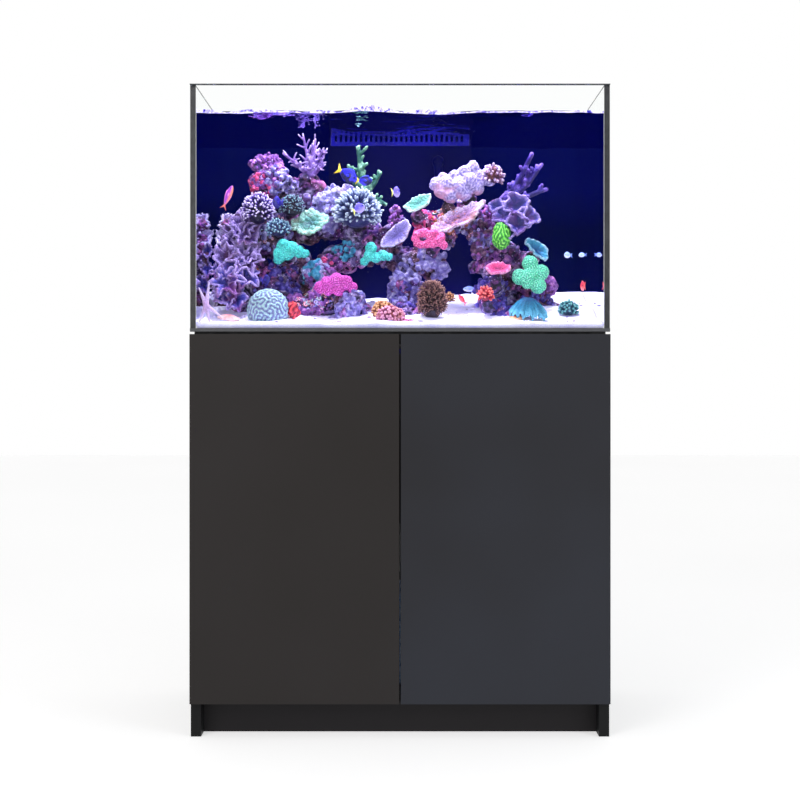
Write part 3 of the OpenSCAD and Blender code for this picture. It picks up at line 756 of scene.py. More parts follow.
# Colours of the corals: glow, grains per metre, their depth, the colours of spots and of patches,
# and then (place, red, green, blue) from foot or valley to tip or ridge.
CORALS = {
    "brain_mint": (0.2, 500, 0.0003, None, None, [
        (0.1, 104, 108, 146), (0.42, 136, 150, 176), (0.62, 146, 190, 182), (0.9, 186, 222, 204)]),
    "brain_lime": (0.34, 600, 0.0003, None, None, [
        (0.1, 20, 100, 36), (0.45, 66, 182, 50), (0.75, 116, 224, 66), (0.95, 190, 246, 130)]),
    "brain_red": (0.35, 600, 0.0003, None, None, [
        (0.1, 110, 10, 30), (0.5, 206, 30, 56), (0.9, 250, 90, 80)]),
    "lobed_magenta": (0.36, 420, 0.0005, None, None, [
        (0.1, 150, 30, 116), (0.45, 204, 58, 160), (0.75, 228, 92, 186), (0.95, 246, 156, 218)]),
    "lobed_turquoise": (0.42, 330, 0.0012, None, None, [
        (0.1, 28, 156, 144), (0.45, 56, 200, 178), (0.75, 84, 228, 200), (0.95, 150, 246, 222)]),
    "lobed_pink": (0.4, 380, 0.0008, None, None, [
        (0.1, 190, 40, 112), (0.42, 234, 72, 142), (0.7, 246, 112, 168), (0.95, 255, 178, 208)]),
    "lobed_green": (0.44, 420, 0.0006, None, None, [
        (0.1, 44, 164, 122), (0.42, 84, 216, 158), (0.7, 126, 244, 186), (0.95, 200, 255, 224)]),
    "furry_brown": (0.12, 700, 0.0002, None, (60, 30, 44), [
        (0.1, 34, 18, 34), (0.45, 76, 44, 54), (0.8, 140, 92, 84), (1.0, 204, 158, 134)]),
    "bushy": (0.16, 700, 0.0003, None, None, [
        (0.0, 44, 48, 104), (0.3, 80, 92, 140), (0.62, 130, 146, 176), (0.95, 206, 222, 222)]),
    "tuft": (0.16, 800, 0.0002, None, None, [
        (0.0, 20, 12, 52), (0.4, 66, 42, 128), (0.72, 150, 120, 196), (0.98, 244, 232, 250)]),
    "murky_tuft": (0.12, 800, 0.0002, None, None, [
        (0.0, 26, 14, 44), (0.45, 62, 44, 86), (0.8, 96, 90, 124), (1.0, 130, 178, 170)]),
    "teal_tuft": (0.18, 800, 0.0002, None, None, [
        (0.0, 40, 40, 90), (0.5, 90, 130, 160), (1.0, 170, 214, 214)]),
    "staghorn": (0.2, 600, 0.0006, None, None, [
        (0.0, 80, 48, 120), (0.4, 122, 84, 158), (0.8, 158, 122, 192), (1.0, 222, 200, 240)]),
    "tree": (0.16, 500, 0.0008, None, None, [
        (0.0, 10, 40, 50), (0.35, 20, 72, 64), (0.75, 48, 116, 86), (1.0, 150, 206, 156)]),
    "finger": (0.16, 420, 0.0008, None, None, [
        (0.0, 20, 10, 66), (0.35, 34, 18, 98), (0.8, 54, 32, 128), (1.0, 128, 96, 196)]),
    "dotted": (0.2, 380, 0.0014, (60, 44, 92), (104, 96, 90), [
        (0.0, 36, 66, 76), (0.4, 84, 150, 130), (0.9, 168, 226, 190)]),
    "great_plate": (0.16, 500, 0.0004, None, (190, 138, 160), [
        (0.0, 120, 104, 164), (0.35, 164, 150, 202), (0.7, 192, 180, 222), (1.0, 216, 200, 228)]),
    "side_plate": (0.14, 300, 0.0012, (190, 110, 80), (134, 78, 64), [
        (0.0, 84, 48, 84), (0.5, 154, 110, 148), (1.0, 226, 204, 226)]),
    "lavender_plate": (0.16, 460, 0.0006, None, (96, 74, 92), [
        (0.0, 72, 58, 120), (0.5, 118, 106, 168), (0.85, 156, 142, 198), (1.0, 234, 222, 246)]),
    "mint_plate": (0.22, 600, 0.0008, None, None, [
        (0.0, 54, 128, 112), (0.5, 96, 178, 146), (0.88, 134, 210, 170), (1.0, 220, 244, 226)]),
    "crescent": (0.32, 500, 0.0006, None, None, [
        (0.0, 120, 20, 80), (0.5, 206, 50, 110), (0.9, 236, 90, 140), (1.0, 250, 170, 200)]),
    "ridge": (0.26, 500, 0.0008, None, None, [
        (0.0, 20, 70, 120), (0.5, 34, 120, 160), (0.9, 70, 176, 196), (1.0, 190, 230, 240)]),
    "fan": (0.16, 500, 0.0006, None, None, [
        (0.0, 8, 28, 66), (0.3, 14, 76, 108), (0.7, 34, 126, 146), (1.0, 110, 196, 204)]),
    "ruffle": (0.12, 420, 0.0012, None, (84, 34, 60), [
        (0.0, 38, 16, 56), (0.35, 64, 34, 88), (0.75, 96, 72, 138), (1.0, 196, 172, 224)]),
    "blue_ruffle": (0.16, 420, 0.001, None, (112, 50, 110), [
        (0.0, 20, 20, 84), (0.4, 46, 46, 132), (0.8, 88, 86, 176), (1.0, 196, 172, 224)]),
    "cup": (0.16, 420, 0.0006, None, (86, 50, 110), [
        (0.0, 22, 20, 80), (0.4, 38, 38, 108), (0.8, 72, 68, 144), (1.0, 170, 150, 208)]),
    "frosted_ruffle": (0.2, 420, 0.001, None, None, [
        (0.0, 120, 96, 170), (0.4, 168, 148, 208), (1.0, 226, 214, 244)]),
    "mound": (0.2, 600, 0.0004, None, None, [
        (0.0, 20, 60, 80), (0.5, 50, 120, 120), (1.0, 120, 190, 170)]),
    "salmon": (0.22, 600, 0.0004, None, (150, 80, 60), [
        (0.0, 110, 36, 76), (0.5, 196, 96, 126), (1.0, 240, 170, 180)]),
    "starfish": (0.24, 900, 0.0002, None, None, [
        (0.0, 196, 150, 206), (0.4, 232, 206, 240), (1.0, 246, 232, 250)]),
    "shell": (0.22, 700, 0.0004, None, None, [
        (0.0, 226, 120, 120), (0.5, 246, 170, 150), (1.0, 252, 214, 200)]),
    "shell_orange": (0.26, 700, 0.0004, None, None, [
        (0.0, 240, 130, 70), (0.6, 250, 176, 120), (1.0, 255, 214, 170)]),
    "rubble": (0.16, 900, 0.0003, None, None, [
        (0.0, 150, 140, 190), (0.5, 206, 190, 226), (1.0, 250, 244, 255)]),
}


def coral(name):
    """The look of one kind of coral in the table."""
    glow, grain, depth, spots, patches, stops = CORALS[name]
    return coral_look(name + "_look", [(place, rgb) for place, *rgb in stops], glow, grain, depth, spots,
                      patches)


def rock_look():
    """Live rock: purple and pink crusts over grey stone, white specks, painted shade in the hollows and
    pores, and a faint painted highlight on the bumps.
    """
    look = Look("live_rock", rough=0.7)
    stone = look.ramp(look.noise(24, 6, 0.65, 0.6), [
        (0.30, srgb(12, 8, 34)), (0.42, srgb(50, 36, 84)), (0.52, srgb(108, 88, 142)),
        (0.61, srgb(198, 182, 216)), (0.70, srgb(252, 246, 252))])
    crust = look.ramp(look.noise(15, 5, 0.6, 1.2), [
        (0.36, srgb(44, 26, 96)), (0.47, srgb(104, 50, 120)), (0.55, srgb(178, 92, 146)),
        (0.66, srgb(142, 118, 188))])
    where = look.ramp(look.noise(19, 4, 0.6), [(0.46, (0, 0, 0)), (0.56, (1, 1, 1))])
    color = look.mix(where, stone, crust)
    brown = look.ramp(look.noise(16, 4), [(0.54, (0, 0, 0)), (0.62, (0.85, 0.85, 0.85))])
    color = look.mix(brown, color, srgb(92, 58, 60))
    specks = look.ramp(look.cells(170), [(0.10, (1, 1, 1)), (0.22, (0, 0, 0))])
    color = look.mix(specks, color, srgb(240, 230, 248))
    # Painted shade in the hollows, where the skin sits lower than around it, and a faint painted
    # highlight where it stands out.
    pores = look.ramp(look.attribute("tip"), [(0.30, srgb(34, 26, 74)), (0.62, (1.1, 1.1, 1.1))])
    color = look.mix(1.0, color, pores, "MULTIPLY")
    look.color(color)
    # A faint glow of painted light.
    look.glow(color, 0.05)
    look.bump(look.noise(420, 5, 0.7), 0.5, 0.0012)
    return look.mat


def reef_rock(name, node, lumps, seed):
    """Craggy rock. Each lump is (x, y, z, radius) in mm, broken up by smaller lumps and by noise."""
    rng = random.Random(seed)
    shape = Shape()
    for x, y, z, r in lumps:
        centre, radius = mm(x, y, z), r / 1000
        add_ball(shape, centre, radius * 0.86, squash=(1, 0.9, rng.uniform(0.8, 1.0)))
        for _ in range(9):
            way = rand_dir(rng)
            way.z *= 0.8
            small = radius * rng.uniform(0.22, 0.44)
            add_ball(shape, centre + way * radius * 0.82, small, squash=(1, 1, rng.uniform(0.6, 1.1)))
    mesh = blended(shape, 0.0034, 1)
    shift = Vector((seed * 7.3, 0, 0))

    def crag(p):
        """How far the skin is pushed out: broad swellings, rounded knobs and round pores."""
        big = noise.fractal(p / 0.022 + shift, 1.0, 2.1, 5) * 0.0065
        cell = noise.voronoi(p / 0.013 + shift)[0]
        knob = max(0.0, 0.42 - cell[0]) * 0.010
        pore = -0.007 * max(0.0, 1 - noise.voronoi(p / 0.019 - shift)[0][0] / 0.26)
        return big + knob + pore

    co, no = points_of(mesh), normals_of(mesh)
    step = np.array([crag(Vector(p)) for p in co])
    co = co + no * step[:, None]
    gap = 0.003
    co[:, 0] = np.clip(co[:, 0], -INNER_X + gap, INNER_X - gap)
    co[:, 1] = np.clip(co[:, 1], -INNER_Y + gap, INNER_Y - gap)
    set_points(mesh, co)
    near = neighbours(mesh)
    # How far the skin stands out from the skin around it, kept as tip; rock_look paints shade into the
    # low places and a faint highlight onto the high ones with it.
    rough = step - blur(step, near, 12)
    set_layer(mesh, "tip", np.clip(0.5 + rough / 0.006, 0, 1))
    set_layer(mesh, "hue", np.zeros(len(co)))
    obj = place_mesh(name, mesh, LOOKS["rock"])
    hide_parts(node)
    return obj


def crust_nodules(name, rock, centre, reach, count, size, mat, seed):
    """Rounded knobs that crowd over the rock's skin around centre."""
    rng = random.Random(seed)
    shape = Shape()
    for p, normal in skin_near(rock, centre, reach, rng)[:count]:
        r = size * rng.uniform(0.5, 1.25)
        place = p + normal * r * rng.uniform(0.1, 0.7)
        add_ball(shape, place, r, 0.5, rng.random(), squash=(1, 1, rng.uniform(0.8, 1.25)),
                 ball=SMALL_BALL)
        add_ball(shape, place + normal * r * 0.75, r * 0.45, 1.0, rng.random(), ball=SMALL_BALL)
    mesh = blended(shape, max(0.0011, size * 0.26), 1)
    hills = points_of(mesh)
    tips = np.array([0.5 + 0.5 * noise.noise(Vector(p) / 0.008) for p in hills])
    set_layer(mesh, "tip", np.clip(tips, 0, 1))
    swell(mesh, lambda p: 0.0007 * noise.noise(p / 0.003))
    return place_mesh(name, mesh, mat)


# ---------- animals ----------
def fish(name, place, length, height, look, turn=0.0, tilt=0.0, fork=0.5):
    """A fish that faces -X before it is turned about Z and tilted. hue marks its tail, fins and eyes."""
    shape = Shape()
    thick = 0.36
    rings, sides = 18, 14
    verts, tips, hues = [], [], []
    for i in range(rings):
        u = i / (rings - 1)
        h = height / 2 * (math.sin(math.pi
                                   * min(1, u * 0.97 + 0.015) ** 0.82)) ** 0.75 + height * 0.05 * u
        if u > 0.8:
            h = max(h, height * 0.10)
        w = h * thick * (1.15 - 0.55 * u)
        for k in range(sides):
            a = 2 * math.pi * k / sides
            verts.append(Vector(((u - 0.5) * length * 0.78, w * math.cos(a), h * math.sin(a))))
            tips.append(0.5 + 0.5 * math.sin(a))
            hues.append(u * 0.7)
    faces = ring_faces(rings, sides)
    faces.append(tuple(range(sides - 1, -1, -1)))
    faces.append(tuple((rings - 1) * sides + k for k in range(sides)))

    def fin(outline, hue):
        start = len(verts)
        n = len(outline)
        for side in (-1, 1):
            for x, z, t in outline:
                verts.append(Vector((x * length, side * 0.0006, z * height)))
                tips.append(t)
                hues.append(hue)
        faces.append(tuple(start + i for i in range(n)))
        faces.append(tuple(start + n + i for i in reversed(range(n))))
        for i in range(n):
            j = (i + 1) % n
            faces.append((start + i, start + n + i, start + n + j, start + j))

    tail = [(0.36, 0.07, 0), (0.43, 0.22, 0.5), (0.56, 0.30 * (1 + fork), 1),
            (0.50 - 0.04 * fork, 0.0, 0.6), (0.56, -0.30 * (1 + fork), 1), (0.43, -0.22, 0.5),
            (0.36, -0.07, 0)]
    fin(tail, 1.0)
    crest = [(-0.22, 0.40, 0)]
    for t in (0.15, 0.3, 0.45, 0.6, 0.75, 0.9):
        crest.append((-0.22 + 0.56 * t, 0.5 + 0.14 * math.sin(math.pi * t ** 0.7) - 0.30 * t * t, 1))
    crest += [(0.34, 0.10, 0), (0.1, 0.30, 0)]
    fin(crest, 0.62)
    keel = [(x, -z * (0.96 if x > 0 else 0.8), t) for x, z, t in crest if x > -0.1]
    fin(keel[::-1], 0.62)
    shape.add(verts, faces, tips, hues)
    for side in (-1, 1):
        eye = Vector((-0.28 * length, side * height * thick * 0.36, 0.10 * height))
        add_ball(shape, eye, height * 0.075, 0.0, 0.9, squash=(1, 0.5, 1), ball=SMALL_BALL)
        flap = [Vector((-0.10 + dx, side * (thick * 0.5 + 0.1 * dx), dz)) for dx, dz in
                ((0, 0.02), (0.07, 0.10), (0.14, 0.05), (0.15, -0.08), (0.08, -0.14), (0.01, -0.06))]
        flap = [Vector((v.x * length, v.y * height * 0.5 + side * height * 0.12, v.z * height))
                for v in flap]
        back = [v + Vector((0, side * 0.0008, 0)) for v in flap]
        n = len(flap)
        sides_of = [(i, n + i, n + (i + 1) % n, (i + 1) % n) for i in range(n)]
        shape.add(flap + back, [tuple(range(n)), tuple(reversed(range(n, 2 * n)))] + sides_of, 0.8, 0.62)
    spin = Matrix.Rotation(turn, 3, "Z") @ Matrix.Rotation(tilt, 3, "Y")
    shape.verts = [np.array(v @ np.array(spin).T + np.array(place)) for v in shape.verts]
    return shape.object(name, look, slot="coral_violet")


def starfish(name, centre, arms, thick, mat):
    """arms are the places of the tips. Each arm tapers and has rows of small knobs."""
    rng = random.Random(5)
    shape = Shape()
    for tip in arms:
        way = tip - centre
        side = Vector((0, 0.004, 0))
        path = [centre + way * t + side * math.sin(math.pi * t) for t in (0, 0.25, 0.5, 0.75, 1)]
        add_tube(shape, path, [thick * k for k in (1.25, 0.9, 0.66, 0.46, 0.24)], 10)
        for i in range(16):
            t = (i + 1) / 17
            spot = centre + way * t + Vector((rng.uniform(-1, 1), -0.3,
                                              rng.uniform(-1, 1))) * thick * (1 - t) * 0.6
            add_ball(shape, spot + Vector((0, -thick * (0.95 - 0.7 * t), 0)), thick * 0.16,
                     ball=SMALL_BALL)
    mesh = blended(shape, 0.0011, 3)
    middle = np.array(centre)
    far = np.linalg.norm(points_of(mesh) - middle, axis=1)
    set_layer(mesh, "tip", far / far.max())
    return place_mesh(name, mesh, mat)


# ---------- looks ----------
LOOKS = {
    # The doors are one charcoal board; the warm tint of the left door and the cooler, lighter tint of
    # the right door are painted reflections of the warm and cool studio lamps.
    "left_door": board_look("door_painted_warm_light", srgb(42, 39, 38), srgb(46, 43, 43)),
    "right_door": board_look("door_painted_cool_light", srgb(42, 42, 46), srgb(48, 50, 57)),
    "carcass": board_look("carcass_board", srgb(18, 18, 19), srgb(22, 22, 24)),
    "plinth": board_look("kick_board_black", srgb(30, 28, 30), srgb(34, 32, 34)),
    "steel": metal_look("hinge_steel", srgb(196, 198, 202), 0.28),
    "latch": plastic_look("latch_grey", srgb(150, 152, 156), 0.45),
    "mat": plastic_look("foam_mat", srgb(30, 30, 32), 0.85, 700),
    "pipe": plastic_look("pipe_dark", srgb(46, 47, 52), 0.38),
    "handle": plastic_look("handle_red", srgb(176, 34, 28), 0.4),
    "white_plastic": plastic_look("white_plastic", srgb(222, 222, 218), 0.4),
    "reservoir": plastic_look("reservoir_black", srgb(30, 31, 34), 0.3),
    "impeller": plastic_look("impeller_white", srgb(214, 214, 210), 0.35),
    "glass": glass_look("clear_glass", (0.99, 0.995, 0.993), 1.06),
    "sump_glass": glass_look("sump_glass", (0.90, 0.95, 0.94), 1.3),
    "rock": rock_look(),
}


def film_look():
    """Black film, painted dark blue with a glow for the blue lamp light on it: brighter near the sand
    and again towards the water line, with upright bands of painted light.
    """
    look = Look("back_film_painted_blue_light", rough=0.5, Specular_IOR_Level=0.0)
    height = look.node("ShaderNodeSeparateXYZ")
    look.link(look.coord, height.inputs[0])
    up = look.node("ShaderNodeMapRange")
    up.inputs["From Min"].default_value = BED_Z
    up.inputs["From Max"].default_value = WATER_Z
    look.link(height.outputs["Z"], up.inputs["Value"])
    wavy = look.maths("ADD", up.outputs[0], look.maths("MULTIPLY", look.noise(5, 2), 0.3))
    color = look.ramp(wavy, [(0.12, srgb(5, 12, 92)), (0.4, srgb(5, 11, 54)), (0.75, srgb(5, 10, 50)),
                             (0.97, srgb(6, 12, 74))])
    across = look.node("ShaderNodeCombineXYZ")
    look.link(height.outputs["X"], across.inputs["X"])
    # Upright bands of painted light across the film.
    painted_light_streak = look.node("ShaderNodeTexNoise")
    painted_light_streak.inputs["Scale"].default_value = 11
    look.link(across.outputs[0], painted_light_streak.inputs["Vector"])
    painted_light_bands = look.ramp(painted_light_streak.outputs["Fac"],
                      [(0.50, (0, 0, 0)), (0.58, (0.5, 0.5, 0.5)), (0.70, (0.2, 0.2, 0.2))])
    color = look.mix(painted_light_bands, color, srgb(8, 15, 76))
    look.color(color)
    # The glow is painted light: the blue lamp on the black film.
    look.glow(color, 0.7)
    return look.mat


LOOKS.update({
    "film": film_look(),
    # Black plastic in blue light, which takes on the colour of the back.
    "weir": tone_look("weir_blue_black", 0.3, (3, 3), [(0.3, (6, 9, 52)), (0.7, (12, 12, 72))], 0.7,
                      (1400, 2, 0.1, 0.0003), Specular_IOR_Level=0.05),
    # Black comb, painted bright blue with a glow for the blue lamp light on it and through its slots.
    "comb": tone_look("comb_painted_blue_light", 0.25, (9, 2), [(0.3, (4, 4, 118)), (0.7, (8, 5, 162))], 0.36),
    "silicone": tone_look("black_silicone", 0.35, (60, 3), [(0.3, (30, 30, 34)), (0.7, (52, 52, 56))],
                          bump=(200, 2, 0.15, 0.0004)),
    "felt": tone_look("white_felt", 0.95, (180, 6, 0.7),
                      [(0.3, (206, 204, 196)), (0.7, (240, 239, 233))], bump=(900, 5, 0.8, 0.7, 0.0016),
                      Sheen_Weight=0.4),
})

CAD_LOOKS = {
    "left_door": ["door_left"],
    "right_door": ["door_right"],
    "carcass": ["side_panel_left", "side_panel_right", "cabinet_top", "cabinet_floor", "back_panel",
                "back_rail"],
    "plinth": ["kick_board"],
    "steel": ["cam_fittings", "strike_left", "strike_right"]
             + [f"hinge_{part}_{side}" for part in ("cups", "links", "arms")
                for side in ("left", "right")],
    "latch": ["latch_bodies", "latch_plunger_left", "latch_plunger_right"],
    "mat": ["levelling_mat"],
    "glass": ["glass_front", "glass_back", "glass_left", "glass_right", "glass_base"],
    "sump_glass": ["sump_tank"],
    "silicone": ["silicone_seams"],
    "film": ["back_film"],
    "weir": ["weir_box", "weir_lid", "bulkheads", "standpipe_main", "standpipe_spare", "return_riser",
             "return_nozzle"],
    "comb": ["weir_comb"],
    "pipe": ["drain_pipe", "spare_drain_pipe", "return_pipe", "pump_body", "sock_holder"],
    "handle": ["valve_handle"],
    "felt": ["filter_sock"],
    "impeller": ["pump_impeller"],
    "white_plastic": ["float_valve", "float_arm"],
    "reservoir": ["topup_tank"],
}


def dress_cad():
    for look, nodes in CAD_LOOKS.items():
        for node in nodes:
            mesh = NODES[node].data
            mesh.materials.clear()
            mesh.materials.append(LOOKS[look])
    softened = CAD_LOOKS["carcass"] + CAD_LOOKS["plinth"] + ["door_left", "door_right", "levelling_mat"]
    for node in softened:
        bevel = NODES[node].modifiers.new("edge", "BEVEL")
        bevel.width = 0.0007
        bevel.segments = 2
        bevel.limit_method = "ANGLE"
        bevel.harden_normals = False


# ---------- water and rim ----------
def water_look(name, mirror):
    """A skin of water with fine ripples in its mirror."""
    look, gloss, fresnel, mix = clear_look(name, (0.97, 0.975, 1.0), mirror, 0.01, 1.33)
    bump = look.node("ShaderNodeBump")
    bump.inputs["Strength"].default_value = 0.12
    bump.inputs["Distance"].default_value = 0.001
    look.link(look.noise(60, 2), bump.inputs["Height"])
    look.link(bump.outputs[0], gloss.inputs["Normal"])
    look.link(fresnel.outputs[0], mix.inputs[0])
    return look.mat


WATER_SKIN = water_look("water_surface_skin", (0.42, 0.42, 0.8))
SIDE_SKIN = water_look("water_side_skin", (0.8, 0.8, 0.96))


def ripple(x, y):
    """Height of the water surface above its mean level."""
    p = Vector((x * 7, y * 9, 0))
    return 0.0050 * noise.noise(p) + 0.0020 * noise.noise(p * 3.1) + 0.0008 * noise.noise(p * 8)


def grid(shape, columns, rows, place):
    """A sheet of vertices at place(u, v), where u and v run from 0 to 1."""
    verts = [place(i / columns, j / rows) for j in range(rows + 1) for i in range(columns + 1)]
    shape.add(verts, sheet_faces(columns, rows))


def make_water():
    half, depth = INNER_X - 0.0008, INNER_Y - 0.0008
    top = Shape()

    def surface(u, v):
        x, y = (2 * u - 1) * half, (2 * v - 1) * depth
        return Vector((x, y, WATER_Z + ripple(x, y)))

    grid(top, 220, 110, surface)
    top.object("water_surface", WATER_SKIN, slot="glass")
    foot = BED_Z + 0.004
    for side, name in ((-1, "water_side_left"), (1, "water_side_right")):
        def upright(u, v):
            x, y = side * half, side * (2 * u - 1) * depth
            return Vector((x, y, foot + v * (WATER_Z + ripple(x, y) - BED_Z - 0.004)))

        wall = Shape()
        grid(wall, 110, 12, upright)
        wall.object(name, SIDE_SKIN, slot="glass")
    line = Shape()
    drift = random.Random(3).random() * 50

    def band(u, v):
        x = (2 * u - 1) * half
        base = WATER_Z + ripple(x, -depth)
        crest = 0.0150 * abs(noise.noise(Vector((x * 8, drift, 0))))
        tall = max(0.0008, 0.0022 + crest + 0.0026 * noise.noise(Vector((x * 55, 3, 0))))
        return Vector((x, -depth + 0.0002 + 0.0012 * math.sin(math.pi * v), base - 0.0042 + v * tall))

    grid(line, 420, 4, band)
    # A painted highlight: a glowing, broken line of white and lavender where the moving surface meets
    # the front glass.
    look = tone_look("surface_line_painted_highlight", 0.2, (70, 5, 0.7, 1.0), [
        (0.36, (30, 24, 150)), (0.44, (150, 136, 230)), (0.55, (244, 240, 254)),
        (0.64, (120, 100, 214))], 0.7)
    line.object("surface_line_painted_highlight", look, slot="glass")


def add_bar(shape, low, high):
    """A bar between two corners."""
    (x0, y0, z0), (x1, y1, z1) = low, high
    outline = [(x0, y0), (x1, y0), (x1, y1), (x0, y1)]
    verts = [Vector((x, y, z)) for z in (z0, z1) for x, y in outline]
    sides = [(k, (k + 1) % 4, 4 + (k + 1) % 4, 4 + k) for k in range(4)]
    shape.add(verts, [(3, 2, 1, 0), (4, 5, 6, 7)] + sides)


def edge_look(name, clear_below):
    """Ground glass edge. From below, through the pane, its face can stay clear."""
    look = Look(name, rough=0.5)
    look.color(look.ramp(look.noise(300, 3), [(0.3, srgb(52, 54, 56)), (0.7, srgb(84, 88, 90))]))
    if clear_below:
        clear = look.node("ShaderNodeBsdfTransparent")
        mix = look.node("ShaderNodeMixShader")
        look.link(look.node("ShaderNodeNewGeometry").outputs["Backfacing"], mix.inputs[0])
        look.link(look.shader.outputs[0], mix.inputs[1])
        look.link(clear.outputs[0], mix.inputs[2])
        look.link(mix.outputs[0], look.out.inputs[0])
    return look.mat


def make_rim():
    """Upper edges of the panes. A side pane shows a thin line along its inner edge from below."""
    solid = edge_look("ground_glass_edge", False)
    from_above = edge_look("ground_glass_edge_top", True)
    inset, line = 0.0004, 0.0016
    low_z, high_z = RIM_Z - 0.0012, RIM_Z + 0.0002
    for name in ("front", "back", "left", "right"):
        low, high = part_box("glass_" + name)
        x0, y0, x1, y1 = low[0] + inset, low[1] + inset, high[0] - inset, high[1] - inset
        strip = Shape()
        if name in ("left", "right"):
            outline = ((x0, y0), (x1, y0), (x1, y1), (x0, y1))
            strip.add([Vector((x, y, high_z)) for x, y in outline], [(0, 1, 2, 3)])
            strip.object("edge_top_" + name, from_above, slot="glass", smooth=False)
            x0, x1 = (x1 - line, x1) if name == "left" else (x0, x0 + line)
            strip = Shape()
        add_bar(strip, (x0, y0, low_z), (x1, y1, high_z - 0.0001))
        strip.object("edge_glass_" + name, solid, slot="glass", smooth=False)


def pane_edges():
    """Grey upright ends of the side panes, and the strip of glass along the bottom."""
    look = Look("pane_end_grey", rough=0.4)
    look.color(look.ramp(look.noise(40, 3), [(0.3, srgb(122, 124, 130)), (0.7, srgb(134, 136, 142))]))
    # The glow is painted light in the grey glass ends.
    look.glow(look.ramp(look.noise(40, 3), [(0.3, srgb(60, 62, 64)), (0.7, srgb(70, 72, 74))]), 0.25)
    thin = 0.0006
    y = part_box("glass_left")[0][1] + 0.0004
    for side, name in ((-1, "pane_end_left"), (1, "pane_end_right")):
        x0, x1 = sorted((side * (INNER_X + 0.0004), side * (HALF_W - 0.0008)))
        strip = Shape()
        add_bar(strip, (x0, y, TANK_Z + 0.001), (x1, y + thin, RIM_Z - 0.002))
        strip.object(name, look.mat, slot="glass", smooth=False)
    dark = tone_look("base_edge_grey", 0.45, (40, 3), [(0.3, (66, 66, 71)), (0.7, (74, 74, 79))])
    x, y = HALF_W - 0.001, FRONT_Y + 0.0004
    strip = Shape()
    add_bar(strip, (-x, y, TANK_Z + 0.0006), (x, y + thin, BED_Z - 0.0004))
    strip.object("base_edge", dark, slot="glass", smooth=False)


# ---------- sand ----------
def sand_height(x, y):
    """The bank of sand rises towards the back and stops around the overflow box."""
    gap = 0.003
    if WEIR_LOW[0] + gap < x < WEIR_HIGH[0] - gap and y > WEIR_LOW[1] + gap:
        return BED_Z + 0.001
    u = (y + INNER_Y) / (2 * INNER_Y)
    bank = 0.012 + 0.088 * min(1, 1.3 * u) ** 1.35
    p = Vector((x, y, 0))
    mound = 0.012 * noise.noise(p / 0.11 + Vector((3, 1, 0))) + 0.004 * noise.noise(p / 0.035)
    near_glass = min(1.0, (y + INNER_Y) / 0.05)
    return BED_Z + bank + mound * (0.35 + 0.65 * near_glass)


def make_sand():
    look = Look("white_sand", rough=0.9)
    grain = look.cells(900)
    color = look.ramp(look.noise(700, 4, 0.8), [(0.3, srgb(206, 196, 240)), (0.5, srgb(240, 236, 252)),
                                                (0.7, srgb(255, 252, 255))])
    # Lavender patches at random places: painted shade.
    patches = look.ramp(look.noise(14, 3), [(0.35, (0.78, 0.76, 0.95)), (0.6, (1, 1, 1))])
    color = look.mix(1.0, color, patches, "MULTIPLY")
    look.color(color)
    # A faint glow of painted light.
    look.glow(color, 0.10)
    look.bump(look.maths("ADD", grain, look.noise(1500, 3)), 0.6, 0.0006)
    columns, rows = 220, 120
    shape = Shape()
    half, depth = INNER_X - 0.0015, INNER_Y - 0.0015
    verts = []
    for j in range(rows + 1):
        for i in range(columns + 1):
            x, y = half * (2 * i / columns - 1), depth * (2 * j / rows - 1)
            verts.append((x, y, sand_height(x, y) + 0.0006 * noise.noise(Vector((x, y, 0)) / 0.004)))
    faces = sheet_faces(columns, rows)
    ring = list(range(columns + 1)) + [j * (columns + 1) + columns for j in range(1, rows + 1)]
    ring += [rows * (columns + 1) + i
             for i in range(columns - 1, -1, -1)] + [j * (columns + 1) for j in range(rows - 1, 0, -1)]
    base = len(verts)
    verts += [(verts[k][0], verts[k][1], BED_Z + 0.0005) for k in ring]
    n = len(ring)
    faces += [(base + k, base + (k + 1) % n, ring[(k + 1) % n], ring[k]) for k in range(n)]
    faces.append(tuple(base + k for k in reversed(range(n))))
    shape.add(verts, faces)
    sand = shape.object("sand", look.mat, slot="sand")
    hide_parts("sand_bed")


